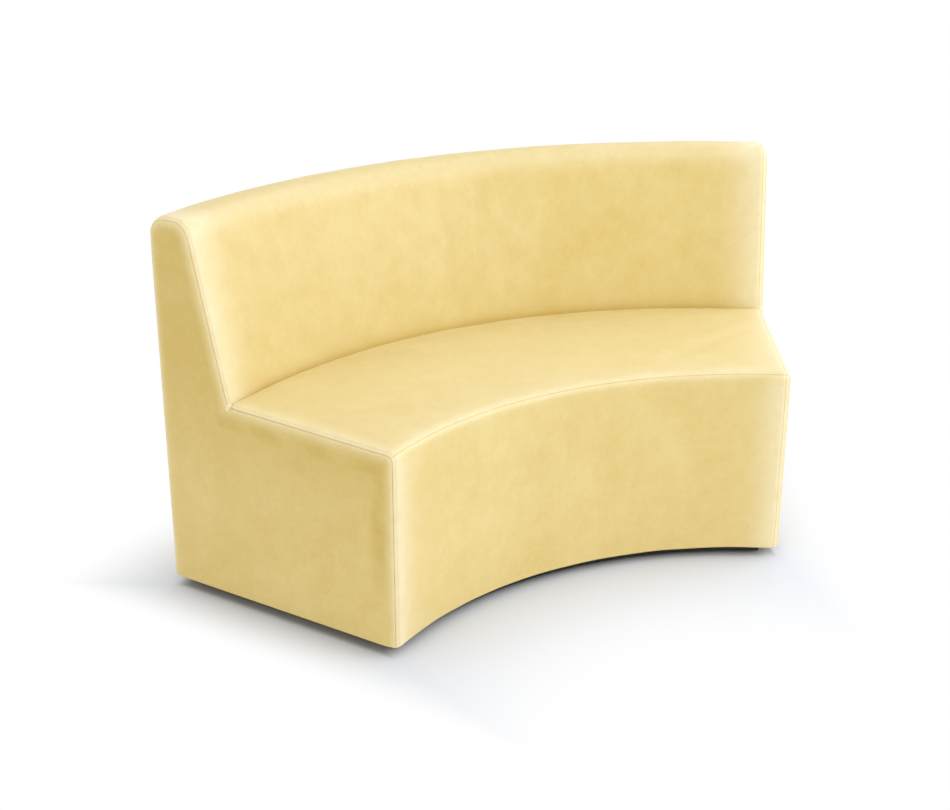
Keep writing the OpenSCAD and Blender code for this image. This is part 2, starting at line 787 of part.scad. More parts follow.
module front_pad() {
    pad_r = front_r + foam_in + front_pad_t;
    placed() color("#efe9d6") swept([
        for (st = foam_stations(arc_steps)) [
            for (row = concat(
                [front_row(front_r + st[2], pad_z)],
                [for (v = pad_shares) front_row(
                    front_r + st[2] - front_crown * st[4] * across(v),
                    between(base_clear + bottom_edge_r, seat_front_h - seat_edge_r, v)
                )],
                [front_row(front_r + st[2], deck_top), front_row(pad_r, deck_top), front_row(pad_r, pad_z)]
            )) spot(row, st)
        ]
    ], loop_fan(len(pad_shares) + 3, len(pad_shares) + 4));
}
module outside_back_wadding() {
    r = rear_r - foam_in;
    placed() color("#f4f1e8")
        arc_strip(r - wadding_t, r, rear_centre_y, pad_z, cap_top, end_edge_r + fit_gap);
}

// Outline of an end face in the plane at the station's inset, from the front foot over the back
function end_outline(st) = let(d = st[2], b = base_clear + st[3]) [
    for (row = concat(
        [front_row(front_r + d, b)],
        seat_edge_rows(d, [0, 22.5, 45, 67.5, 90]),
        [back_row(slope_r(crease_h - d, d), crease_h - d)],
        slope_face_rows(d, 0, end_slope_shares),
        top_front_rows(d),
        top_rear_rows(d),
        [rear_row(rear_r - d, b), rear_row(end_turn_rear_r, b), front_row(end_turn_front_r, b)]
    )) spot(row, st)
];
// The lower part fans out from the seat's edge, the upper part from the foot of the outside back
end_seat = 5;
end_crease = 6;
end_foot = 12 + len(end_slope_shares) + len(top_rear_turns);
end_cap = concat(
    fan(end_seat, [end_crease, end_foot, end_foot + 1, end_foot + 2, 0, 1, 2, 3, 4]),
    fan(end_foot, [for (i = [end_crease + 1:end_foot - 1]) i]),
    [[end_foot, end_crease, end_crease + 1]]
);

// Padding that fills the end cover out to its seams
module end_pad_right() {
    turn = asin((end_edge_r - foam_in - end_pad_t) / (end_edge_r - foam_in));
    placed() color("#f4f1e8") swept(
        [for (v = [0, 1 / 3, 2 / 3, 1]) end_outline(edge_station(1, between(turn, 90, v), foam_in))],
        end_cap
    );
}
module end_pad_left() {
    mirror([1, 0, 0]) end_pad_right();
}

// Two points of the end cover's flap under the base, at a station
function flap_row(st) = let(b = base_clear + st[3])
    [spot(rear_row(end_turn_rear_r, b), st), spot(front_row(end_turn_front_r, b), st)];
module end_cover_right() {
    turns = concat(
        [seam_turn + turn_gap_angle(end_edge_r)],
        [for (v = turn_shares) between(seam_turn, 90, v)]
    );
    flap_turns = [for (v = turn_shares) between(seam_turn, 0, v)];
    placed() color("#e3cd86") dished(
        [for (a = turns) end_outline(edge_station(1, a, 0))],
        [for (a = turns) end_outline(edge_station(1, a, cover_t))],
        end_cap,
        concat(
            [for (a = flap_turns) flap_row(edge_station(1, a, 0))],
            [flap_row([1, end_turn_in, 0, 0, 0])]
        ),
        concat(
            [for (a = flap_turns) flap_row(edge_station(1, a, cover_t))],
            [flap_row([1, end_turn_in, cover_t, cover_t, 0])]
        )
    );
}
module end_cover_left() {
    mirror([1, 0, 0]) end_cover_right();
}

module seat_cover() {
    placed() color("#f1dc97") skin(
        [for (st = cover_stations(0, arc_steps)) [for (row = seat_cover_rows(st)) spot(row, st)]],
        [for (st = cover_stations(cover_t, arc_steps))
            [for (row = seat_cover_rows(st)) spot(row, st)]]
    );
}
module front_cover() {
    placed() color("#ecd68f") skin(
        [for (st = cover_stations(0, arc_steps)) [for (row = front_cover_rows(st)) spot(row, st)]],
        [for (st = cover_stations(cover_t, arc_steps))
            [for (row = front_cover_rows(st)) spot(row, st)]]
    );
}
module inside_back_cover() {
    placed() color("#efda94") skin(
        [for (st = cover_stations(0, arc_steps)) [for (row = inside_back_cover_rows(st)) spot(row, st)]],
        [for (st = cover_stations(cover_t, arc_steps))
            [for (row = inside_back_cover_rows(st)) spot(row, st)]]
    );
}
module outside_back_cover() {
    placed() color("#e8d28b") skin(
        [for (st = cover_stations(0, rear_steps)) [for (row = outside_back_cover_rows(st)) spot(row, st)]],
        [for (st = cover_stations(cover_t, rear_steps))
            [for (row = outside_back_cover_rows(st)) spot(row, st)]]
    );
}

plinth_front_strip();
plinth_rear_strip();
plinth_end_left();
plinth_end_right();
plinth_cross_members();
floor_glides();
glide_nails();
plinth_screws();
base_panel();
dust_cover();
end_frame_left();
end_frame_right();
rib_left();
rib_middle();
rib_right();
front_lower_rail();
front_upper_rail();
seat_rear_rail();
back_lower_rail();
back_top_rail();
corner_blocks();
front_board();
seat_deck();
inside_back_board();
outside_back_board();
seat_foam();
back_foam();
front_pad();
end_pad_left();
end_pad_right();
outside_back_wadding();
seat_cover();
front_cover();
inside_back_cover();
outside_back_cover();
end_cover_left();
end_cover_right();
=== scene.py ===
import json
import math

import bmesh
import bpy
import numpy as np
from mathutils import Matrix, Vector
from mathutils.geometry import delaunay_2d_cdt


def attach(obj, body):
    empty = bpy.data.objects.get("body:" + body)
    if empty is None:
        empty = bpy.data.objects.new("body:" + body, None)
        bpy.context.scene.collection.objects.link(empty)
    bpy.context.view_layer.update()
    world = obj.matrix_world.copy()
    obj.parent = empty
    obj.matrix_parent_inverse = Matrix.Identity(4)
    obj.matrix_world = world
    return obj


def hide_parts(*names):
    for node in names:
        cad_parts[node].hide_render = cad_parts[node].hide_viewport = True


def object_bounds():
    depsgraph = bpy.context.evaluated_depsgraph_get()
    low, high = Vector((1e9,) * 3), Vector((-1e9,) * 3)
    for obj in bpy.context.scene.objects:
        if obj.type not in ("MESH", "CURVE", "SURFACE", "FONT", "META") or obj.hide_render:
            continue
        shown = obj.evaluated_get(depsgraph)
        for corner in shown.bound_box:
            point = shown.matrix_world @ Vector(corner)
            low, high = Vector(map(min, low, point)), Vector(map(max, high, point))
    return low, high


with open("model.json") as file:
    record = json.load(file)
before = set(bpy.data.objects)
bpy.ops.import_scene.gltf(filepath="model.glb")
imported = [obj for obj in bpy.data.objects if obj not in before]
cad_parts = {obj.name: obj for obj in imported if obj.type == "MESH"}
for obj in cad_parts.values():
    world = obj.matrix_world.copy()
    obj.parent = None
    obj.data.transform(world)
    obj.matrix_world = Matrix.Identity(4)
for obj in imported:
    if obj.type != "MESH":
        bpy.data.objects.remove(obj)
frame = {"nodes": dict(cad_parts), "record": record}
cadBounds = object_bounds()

mm = 0.001
scene = bpy.context.scene
print("frame loaded:", len(frame["nodes"]), "parts of the bench")

# Plan and heights
bench = {
    "frontR": 830 * mm,  # radius of the front, about the plan's origin
    "frontHalfAngle": 35,
    "endAngle": 29,
    "depth": 620 * mm,
    "backCy": 170 * mm,  # centre of the inside back's arc
    "rearCy": 120 * mm,  # centre of the outside back's arc
    "topW": 95 * mm,
    "height": 830 * mm,
    "seatFrontZ": 447 * mm,
    "seatRise": 13 * mm,
    "lean": 84 * mm,
    "underZ": 25 * mm,
    "seatEdge": 20 * mm,
    "topFront": 45 * mm,
    "topRear": 45 * mm,
    "endEdge": 22 * mm,
    "footEdge": 4 * mm,
    "creaseEdge": 14 * mm,
    "creaseEndShare": 0.3,  # how much of the crease's rounding is left at the ends
    "tuckDepth": 30 * mm,
    "frontTurnUnder": 23 * mm,
    "rearTurnUnder": 13 * mm,
    "endTurnUnder": 27 * mm,
    "rearCrown": 2 * mm,
    "fitGap": 0.3 * mm,
    "leastRound": 0.4 * mm,
}
frontR, height, underZ = bench["frontR"], bench["height"], bench["underZ"]
rearR = frontR + bench["depth"] - bench["rearCy"]
creaseZ = bench["seatFrontZ"] + bench["seatRise"]
creaseR = bench["rearCy"] + rearR - bench["topW"] - bench["lean"] - bench["backCy"]
leanAngle = math.atan(bench["lean"] / (height - creaseZ))
endAngle = math.radians(bench["endAngle"])
frontHalf = math.radians(bench["frontHalfAngle"])
originY = bench["rearCy"] + rearR + bench["rearCrown"] - cadBounds[1][1]


# Point where a circle about (0, cy) meets the right-hand end plane, set back by inset
def endPoint(r, cy, inset):
    fromX = frontR * math.sin(frontHalf) - inset * math.cos(endAngle)
    fromY = frontR * math.cos(frontHalf) + inset * math.sin(endAngle)
    dirX, dirY = math.sin(endAngle), math.cos(endAngle)
    along = fromX * dirX + (fromY - cy) * dirY
    reach = np.sqrt(along**2 - fromX**2 - (fromY - cy) ** 2 + r**2) - along
    return fromX + reach * dirX, fromY + reach * dirY


endFrom = endPoint(frontR, 0.0, 0.0)  # front corner of the right-hand end
outOfEnd = np.array([math.cos(endAngle), -math.sin(endAngle), 0])


def arcPoint(u, r, cy, inset):
    x, y = endPoint(r, cy, inset)
    turn = u * np.arctan2(x, y - cy)
    return r * np.sin(turn), cy + r * np.cos(turn)


# A row of a panel is (radius, centre, radius, centre, share of the second, height)
def rowAbout(cy):
    return lambda r, z: (r, cy, r, cy, 0.0, z)


frontRow, backRow, rearRow = rowAbout(0.0), rowAbout(bench["backCy"]), rowAbout(bench["rearCy"])


def rowPoints(row, st):
    ra, ca, rb, cb, share, z = row
    ax, ay = arcPoint(st["u"], ra, ca, st["inset"])
    bx, by = arcPoint(st["u"], rb, cb, st["inset"])
    x, y = ax + (bx - ax) * share, ay + (by - ay) * share
    return np.stack([x, y - originY, z + np.zeros_like(x)], axis=-1)


def slopeR(z, inset):
    rise = (z - creaseZ) / (height - creaseZ)
    return creaseR + bench["lean"] * rise + (bench["fitGap"] / 2 + inset) / math.cos(leanAngle)


def between(a, b, v):
    return a + (b - a) * v


def seatEdgeRow(st, turn):
    m = np.maximum(st["back"], bench["seatEdge"])
    q = np.maximum(bench["seatEdge"] - st["back"], bench["leastRound"])
    return frontRow(frontR + m - q * math.cos(turn), bench["seatFrontZ"] - m + q * math.sin(turn))


def creaseRound(st):
    return bench["creaseEdge"] * between(bench["creaseEndShare"], 1, st["middle"])


def creaseCentre(st):
    c = np.maximum(st["back"], creaseRound(st))
    half = bench["fitGap"] / 2
    return slopeR(creaseZ - c, -half) - (c + half) / math.cos(leanAngle), creaseZ - c


def seatFaceRow(st, v):
    rearAt = creaseCentre(st)[0]
    m = np.maximum(st["back"], bench["seatEdge"])
    z = between(bench["seatFrontZ"], creaseZ, v) - st["back"]
    return (frontR + m, 0.0, rearAt, bench["backCy"], v, z)


def creaseRow(st, turn):
    r, z = creaseCentre(st)
    q = np.maximum(creaseRound(st) - st["back"], bench["leastRound"])
    return backRow(r + q * math.cos(turn), z + q * math.sin(turn))


def tuckEnd(st):
    top = creaseZ - np.maximum(st["back"], creaseRound(st)) - bench["leastRound"]
    low = np.minimum(creaseZ - bench["tuckDepth"], top)
    return between(top, low, np.minimum(1, 3 * st["middle"]))


def slopeFaceRow(st, v):
    z = between(creaseZ, height - bench["topFront"], v)
    return backRow(slopeR(z, st["back"]), z)


def topFrontRow(st, turn):
    z = height - bench["topFront"]
    q = bench["topFront"] - st["back"]
    return backRow(slopeR(z, bench["topFront"]) + q * math.cos(turn), z + q * math.sin(turn))


def topFlatRow(st, v):
    ra = slopeR(height - bench["topFront"], bench["topFront"])
    return (ra, bench["backCy"], rearR - bench["topRear"], bench["rearCy"], v, height - st["back"])


def topRearRow(st, turn):
    q = bench["topRear"] - st["back"]
    z = height - bench["topRear"] + q * math.sin(turn)
    return rearRow(rearR - bench["topRear"] + q * math.cos(turn), z)


def footRow(st, turn, atFront):
    q = np.maximum(bench["footEdge"] - st["low"], bench["leastRound"])
    z = underZ + st["low"] + q * (1 - math.sin(turn))
    inward = st["back"] + q * (1 - math.cos(turn))
    return frontRow(frontR + inward, z) if atFront else rearRow(rearR - inward, z)


# Distances from a seam at which the leather is drawn, close together at the seam and wider away from it
seamSteps = np.array([0, 0.25, 0.6, 1.1, 1.7, 2.5, 3.5, 4.6, 5.6, 6.4, 7, 7.5, 8, 8.6, 9.4, 10.6, 12.4]) * mm
easeSteps = np.array([15, 18, 22, 27, 33, 40, 48]) * mm
faceStep = 6 * mm
seamTurn = math.radians(45)  # a seam lies half way round its rounding
turnStep = {"crease": 0.16, "top": 0.13, "topRear": 0.15, "pastSeam": 0.08, "foot": 0.26, "least": 0.02}
firstStep = {"seat": 2.5 * mm, "back": 3 * mm, "front": 2 * mm}
stepGrowth = 1.35


# Stations along a panel, from the left end seam round the rounded end, along the bench and back
def panelStations(halfLength):
    rounding = bench["endEdge"] * seamTurn
    run = np.arange(easeSteps[-1] + faceStep, halfLength + rounding - faceStep / 2, faceStep)
    s = np.concatenate([seamSteps, easeSteps, run])
    turn = np.maximum(seamTurn - s / bench["endEdge"], 0)
    u = 1 - np.maximum(s - rounding, 0) / halfLength
    r = bench["endEdge"]
    inset = r - r * np.sin(turn)
    back = r - r * np.cos(turn)
    both = np.concatenate([-u, [0.0], u[::-1]])
    backBoth = np.concatenate([back, [0.0], back[::-1]])
    return {
        "u": both,  # -1 to 1 between the ends
        "inset": np.concatenate([inset, [r], inset[::-1]]),  # from the end plane
        "back": backBoth,  # how far the end's rounding draws the surface in
        "low": backBoth * bench["footEdge"] / r,
        "middle": 1 - np.abs(both) ** 8,
        "fromSeam": np.concatenate([s, [halfLength + rounding], s[::-1]]),
    }


def spread(a, b, step):
    return np.linspace(a, b, max(2, int(math.ceil(abs(b - a) / step)) + 1))


# Grid of points, one line of rows for each station
def gridOf(st, rows):
    return np.stack([rowPoints(row, st) for row in rows], axis=1)


def gridNormals(grid):
    alongU = np.gradient(grid, axis=0)
    alongV = np.gradient(grid, axis=1)
    normal = np.cross(alongU, alongV)
    return normal / np.maximum(np.linalg.norm(normal, axis=2, keepdims=True), 1e-12)


# Shares between two stretches with the fine steps kept at the first end
def sharesFrom(length, gap):
    marks = [0.0]
    while marks[-1] + gap < length - gap / 2:
        marks.append(marks[-1] + gap)
        gap = min(gap * stepGrowth, faceStep)
    return np.array(marks + [length]) / length


def seatRows(st):
    turns = seamTurn + seamSteps / bench["seatEdge"]
    rows = [seatEdgeRow(st, a) for a in turns[turns < math.pi / 2 - turnStep["least"]]]
    depthMid = creaseCentre({"back": 0, "middle": 1})[0] + bench["backCy"] - frontR - bench["seatEdge"]
    rows += [seatFaceRow(st, v) for v in sharesFrom(depthMid, firstStep["seat"])]
    rows += [creaseRow(st, a) for a in spread(math.pi / 2, -leanAngle, turnStep["crease"])[1:]]
    r, z = creaseRow(st, -leanAngle)[0], creaseRow(st, -leanAngle)[5]
    low = tuckEnd(st)
    lowR = slopeR(low, -bench["fitGap"] - st["back"])
    rows += [backRow(between(r, lowR, v), between(z, low, v)) for v in (0.25, 0.5, 0.75, 1.0)]
    return rows


def backRows(st):
    low = tuckEnd(st)
    rows = []
    for v in (0, 0.3, 0.6, 0.8):
        z = between(low, creaseZ, v)
        rows.append(backRow(slopeR(z, st["back"]), z))
    faceLength = (height - bench["topFront"] - creaseZ) / math.cos(leanAngle)
    rows += [slopeFaceRow(st, v) for v in sharesFrom(faceLength, firstStep["back"])]
    rows += [topFrontRow(st, a) for a in spread(math.pi - leanAngle, math.pi / 2, turnStep["top"])[1:]]
    rows += [topFlatRow(st, v) for v in (0.3, 0.65)]
    turns = seamSteps / bench["topRear"]
    coarse = spread(math.pi / 2, turns[-1] + turnStep["pastSeam"], turnStep["topRear"])
    rows += [topRearRow(st, a) for a in np.concatenate([coarse, turns[::-1]])]
    return rows


def frontRows(st):
    rows = [frontRow(frontR + bench["frontTurnUnder"], underZ + st["low"])]
    rows += [footRow(st, a, True) for a in spread(math.pi / 2, 0, turnStep["foot"])]
    faceLength = bench["seatFrontZ"] - bench["seatEdge"] - underZ - bench["footEdge"]
    for v in sharesFrom(faceLength, firstStep["front"])[1:]:
        z = between(underZ + bench["footEdge"], bench["seatFrontZ"] - bench["seatEdge"], v)
        rows.append(frontRow(frontR + st["back"], z))
    turns = seamTurn - seamSteps / bench["seatEdge"]
    rows += [seatEdgeRow(st, a) for a in turns[turns > turnStep["least"]][::-1]]
    return rows


def outsideRows(st):
    top = height - bench["topRear"] - bench["fitGap"]
    faceLength = top - underZ - bench["footEdge"]
    run = np.arange(easeSteps[-1] + 8 * mm, faceLength - bench["footEdge"], faceStep)
    rows = [rearRow(rearR - st["back"], top - t) for t in np.concatenate([seamSteps, easeSteps, run])]
    rows += [footRow(st, a, False) for a in spread(0, math.pi / 2, turnStep["foot"])]
    rows.append(rearRow(rearR - bench["rearTurnUnder"], underZ + st["low"]))
    return rows


# Smooth pseudo-random wave between -1 and 1, the same on every run
rippleWaves = {"count": 5, "least": 0.7, "most": 1.9}


def wave(x, pitch, seed):
    rng = np.random.default_rng(seed)
    total = np.zeros_like(x, dtype=float)
    for k in range(rippleWaves["count"]):
        stretch = rng.uniform(rippleWaves["least"], rippleWaves["most"])
        total += np.sin(2 * math.pi * x / (pitch * stretch) + rng.uniform(0, 2 * math.pi))
    return total / rippleWaves["count"]


# Slight unevenness of foam and leather over a whole panel, mostly between -1 and 1
unevenness = {"waves": 16, "least": 55, "most": 170, "whole": 440 * mm}


def softWaves(x, y, seed):
    rng = np.random.default_rng(seed)
    total = np.zeros(np.broadcast(x, y).shape)
    for k in range(unevenness["waves"]):
        pitch = rng.uniform(unevenness["least"], unevenness["most"]) * mm
        turn = rng.uniform(0, math.pi)
        across = x * math.cos(turn) + y * math.sin(turn)
        total += pitch * np.sin(2 * math.pi * across / pitch + rng.uniform(0, 2 * math.pi))
    return total / unevenness["whole"]


# How the leather lies beside a seam, in metres from the plain surface
seam = {
    "valley": 0.8 * mm,
    "pullIn": 0.9 * mm,
    "pullReach": 12 * mm,
    "topstitchAt": 7.5 * mm,
    "topstitchDepth": 0.65 * mm,
    "topstitchWidth": 0.9 * mm,
    "ridge": 0.5 * mm,  # between the seam and the topstitching
    "allowance": 0.35 * mm,  # the folded leather under it
    "allowanceEdge": 0.7 * mm,
    "ripple": 0.3 * mm,
    "rippleFrom": 2 * mm,
    "rippleReach": 15 * mm,
    "ripplePitch": 17 * mm,
    "lip": 4.5 * mm,  # thickness at a seam, more than the valley is deep
    # In a seam's groove the pale mark gives way and painted warm shade shows
    "grooveTone": 1.2 * mm,
    "grooveBare": 0.6,
    "grooveShade": 0.35,
    "unevenness": 0.28 * mm,
}


def valleyAt(s):
    depth = seam["valley"]
    run = np.clip(depth - s, 0, depth)
    return -(depth - np.sqrt(np.maximum(depth**2 - run**2, 0)))


def seamRelief(s, alongSeam, topstitched, seed):
    relief = valleyAt(s) - seam["pullIn"] * np.exp(-s / seam["pullReach"])
    if topstitched:
        away = (s - seam["topstitchAt"]) / seam["topstitchWidth"]
        relief = relief - seam["topstitchDepth"] * np.exp(-(away**2))
        half = seam["topstitchAt"] / 2
        relief = relief + seam["ridge"] * np.sqrt(np.clip(1 - ((s - half) / half) ** 2, 0, 1))
        edge = np.clip((s - seam["topstitchAt"]) / seam["allowanceEdge"], -30, 30)
        relief = relief + seam["allowance"] / (1 + np.exp(edge))
    rippleSize = seam["ripple"] * np.exp(-s / seam["rippleReach"]) * np.clip(s / seam["rippleFrom"], 0, 1)
    return relief + rippleSize * wave(alongSeam, seam["ripplePitch"], seed)


def meshFrom(name, verts, faces, edges=()):
    mesh = bpy.data.meshes.new(name)
    mesh.from_pydata([tuple(v) for v in verts], edges, [tuple(int(i) for i in f) for f in faces])
    mesh.update()
    obj = bpy.data.objects.new(name, mesh)
    scene.collection.objects.link(obj)
    return obj


def report(obj):
    print("made", obj.name, "with", len(obj.data.polygons), "faces")


# The cover as cloth: held at its seams, pressed out by the foam, in a short simulation
clothCover = {"frames": 20, "cell": 12 * mm}
clothSettings = {
    "quality": 6,
    "mass": 0.3,
    "tension_stiffness": 40,
    "compression_stiffness": 40,
    "shear_stiffness": 20,
    "bending_stiffness": 5,
    "vertex_group_mass": "seams",
    "use_pressure": True,
    "uniform_pressure_force": 4,
}


def simulatedLift(verts, faces, normals, held):
    trial = meshFrom("coverTrial", verts, faces)
    group = trial.vertex_groups.new(name="seams")
    group.add([int(i) for i in np.nonzero(held)[0]], 1.0, "REPLACE")
    cloth = trial.modifiers.new("cover", "CLOTH")
    for key, value in clothSettings.items():
        setattr(cloth.settings, key, value)
    cloth.settings.effector_weights.gravity = 0
    cloth.point_cache.frame_end = clothCover["frames"]
    for f in range(1, clothCover["frames"] + 1):
        scene.frame_set(f)
    shaped = trial.evaluated_get(bpy.context.evaluated_depsgraph_get())
    co = np.zeros(len(shaped.data.vertices) * 3)
    shaped.data.vertices.foreach_get("co", co)
    lift = ((co.reshape(-1, 3) - verts) * normals).sum(axis=1)
    bpy.data.objects.remove(trial)
    scene.frame_set(1)
    return np.maximum(lift, 0) / lift.max()


def gridFaces(n, m):
    a = (np.arange(n - 1)[:, None] * m + np.arange(m - 1)[None, :]).ravel()
    return np.stack([a, a + m, a + m + 1, a + 1], axis=1)


# Cubic interpolation of a table along its first axis
def cubic(table, marks, wanted):
    cell = np.clip(np.searchsorted(marks, wanted, side="right") - 1, 0, len(marks) - 2)
    t = (wanted - marks[cell]) / (marks[cell + 1] - marks[cell])
    t = t.reshape((-1,) + (1,) * (table.ndim - 1))
    before, after = np.maximum(cell - 1, 0), np.minimum(cell + 2, len(marks) - 1)
    p0, p1, p2, p3 = table[before], table[cell], table[cell + 1], table[after]
    return 0.5 * (
        2 * p1 + (p2 - p0) * t + (2 * p0 - 5 * p1 + 4 * p2 - p3) * t**2 + (3 * p1 - p0 - 3 * p2 + p3) * t**3
    )


# Crown of a panel over its seams, from 0 to 1, simulated on a coarser grid
def panelCrown(grid, s, t):
    coarseS = spread(0, s[-1], clothCover["cell"])
    coarseT = spread(0, t[-1], clothCover["cell"])
    coarse = cubic(grid, s, coarseS)
    coarse = cubic(coarse.transpose(1, 0, 2), t, coarseT).transpose(1, 0, 2)
    n, m = coarse.shape[:2]
    held = np.zeros((n, m), bool)
    held[[0, -1], :] = True
    held[:, [0, -1]] = True
    normals = gridNormals(coarse)
    lift = simulatedLift(coarse.reshape(-1, 3), gridFaces(n, m), normals.reshape(-1, 3), held.ravel())
    lift = lift.reshape(n, m)
    fine = cubic(lift, coarseS, s)
    return np.clip(cubic(fine.T, coarseT, t).T, 0, 1)


# Closed form from an open surface: a copy at some depth behind it, joined along the open edges
def closedForm(name, outer, base, normals, faces, thickness, marks):
    inner = base - normals * thickness[:, None]
    count = len(outer)
    used = {}
    for f in faces:
        for a, b in zip(f, np.roll(f, -1)):
            key = (min(a, b), max(a, b))
            used[key] = None if key in used else (a, b)
    rim = [(a, a + count, b + count, b) for edge in used.values() if edge for a, b in [edge]]
    allFaces = [tuple(f) for f in faces] + [tuple(int(i) + count for i in f[::-1]) for f in faces]
    allFaces += [tuple(f) for f in rim]
    obj = meshFrom(name, np.concatenate([outer, inner]), allFaces)
    faceOutwards(obj)
    obj.data.shade_smooth()
    obj.data.set_sharp_from_angle(angle=math.radians(50))
    for label, values in marks.items():
        addMark(obj, label, np.concatenate([values, values]))
    return obj


def faceOutwards(obj):
    shape = bmesh.new()
    shape.from_mesh(obj.data)
    bmesh.ops.recalc_face_normals(shape, faces=shape.faces)
    shape.to_mesh(obj.data)
    shape.free()


def addMark(obj, label, values):
    layer = obj.data.attributes.new(label, "FLOAT", "POINT")
    layer.data.foreach_set("value", np.asarray(values, dtype=np.float32))


# What most panels share. The pale mark is wear and painted sheen: over the whole panel, painted highlight along
# the top's rounding, rowReach and endReach from the seams, painted sheen towards the left end. Painted warm
# shade by the crease.
usual = {"creaseShadeReach": 1 * mm, "wearAndSheenOver": 0.0, "topHighlight": 0.0, "rowReach": 20 * mm, "leftSheen": 0.0}
# Each cover panel with the foam behind it
panels = {
    "seatPanel": {
        **usual, "rows": seatRows, "halfLength": 560 * mm, "crown": 12 * mm, "depth": 7 * mm,
        "seamAtStart": True, "seamAtEnd": False, "seed": 11, "creaseShadeReach": 5 * mm, "wearAndSheenOver": 0.36,
        "endReach": 26 * mm, "stands": ["seat_cover", "seat_foam"], "fill": 0.9,
    },
    "backPanel": {
        **usual, "rows": backRows, "halfLength": 660 * mm, "crown": 8 * mm, "depth": 7 * mm,
        "seamAtStart": False, "seamAtEnd": True, "seed": 23, "creaseShadeReach": 13 * mm, "topHighlight": 0.45,
        "endReach": 62 * mm, "leftSheen": 0.13, "stands": ["inside_back_cover", "back_foam"], "fill": 0.85,
    },
    "frontPanel": {
        **usual, "rows": frontRows, "halfLength": 500 * mm, "crown": 4 * mm, "depth": 6 * mm,
        "seamAtStart": False, "seamAtEnd": True, "seed": 37, "wearAndSheenOver": 0.05, "rowReach": 8 * mm,
        "endReach": 54 * mm, "leftSheen": 0.13, "stands": ["front_cover", "front_pad"], "fill": 0.8,
    },
    "outsideBack": {
        **usual, "rows": outsideRows, "halfLength": 740 * mm, "crown": 2 * mm, "depth": 4 * mm,
        "seamAtStart": True, "seamAtEnd": False, "seed": 53, "rowReach": 12 * mm, "endReach": 30 * mm,
        "stands": ["outside_back_cover", "outside_back_wadding"], "fill": 0.7,
    },
}
cover = {
    "leather": 1.5 * mm,
    "thicken": 40 * mm,  # over which a free edge or a seam grows to the full depth
    "wavesReach": 30 * mm,
    # Strength of the wear and painted highlight beside a row's seams
    "rowWearAndSheen": 0.85,
    "topReach": 24 * mm,
    "rippleShift": 3.0,  # so that the two ends don't ripple alike
    "stitchFromCrease": 6 * mm,
    "stitchFromFoot": 4 * mm,
    "stitchOut": 0.1 * mm,
}
stitchPaths = []


# Distance of each point from a line that runs round the inside back at some radius and height
def fromLine(points, r, z):
    away = np.hypot(points[..., 0], points[..., 1] + originY - bench["backCy"])
    return np.hypot(away - r, points[..., 2] - z)


def smooth(x):
    x = np.clip(x, 0, 1)
    return x**2 * (3 - 2 * x)


# Length along a line of points, from its start
def runLength(points):
    return np.concatenate([[0], np.cumsum(np.linalg.norm(np.diff(points, axis=0), axis=1))])


# Distance from whichever of the two edges counts, or 1 m where neither does
def fromEdges(t, atStart, atEnd):
    away = np.full(len(t), 1.0)
    if atStart:
        away = np.minimum(away, t)
    if atEnd:
        away = np.minimum(away, t[-1] - t)
    return away


# In the groove of a seam the pale wear and painted highlight stop and a painted warm shade shows
def atGroove(wearAndSheen, paintedShade, away):
    groove = np.exp(-((away / seam["grooveTone"]) ** 2))
    return wearAndSheen * (1 - seam["grooveBare"] * groove), np.maximum(paintedShade, seam["grooveShade"] * groove)


def panelTones(spec, st, grid, fromEnd, rowDist, fromCrease):
    half = bench["topFront"] * math.sqrt(0.5)
    z = height - bench["topFront"]
    fromTop = fromLine(grid, slopeR(z, bench["topFront"]) - half, z + half)
    # Pale mark: wear and painted highlight beside the seams
    wearAndSheen = cover["rowWearAndSheen"] * np.exp(-rowDist / spec["rowReach"])
    wearAndSheen = np.maximum(np.exp(-((fromEnd / spec["endReach"]) ** 2)), wearAndSheen)
    # Painted sheen, with some wear, over the whole panel
    wearAndSheen = wearAndSheen + spec["wearAndSheenOver"] * (1 - wearAndSheen)
    # Painted highlight along the top's rounding
    wearAndSheen = wearAndSheen + spec["topHighlight"] * np.exp(-((fromTop / cover["topReach"]) ** 2))
    # Painted sheen, paler towards the left end
    wearAndSheen = wearAndSheen + spec["leftSheen"] * (1 - st["u"][:, None]) / 2 * (1 - wearAndSheen)
    # Painted warm shade along the crease
    return atGroove(wearAndSheen, np.exp(-fromCrease / spec["creaseShadeReach"]), np.minimum(fromEnd, rowDist))


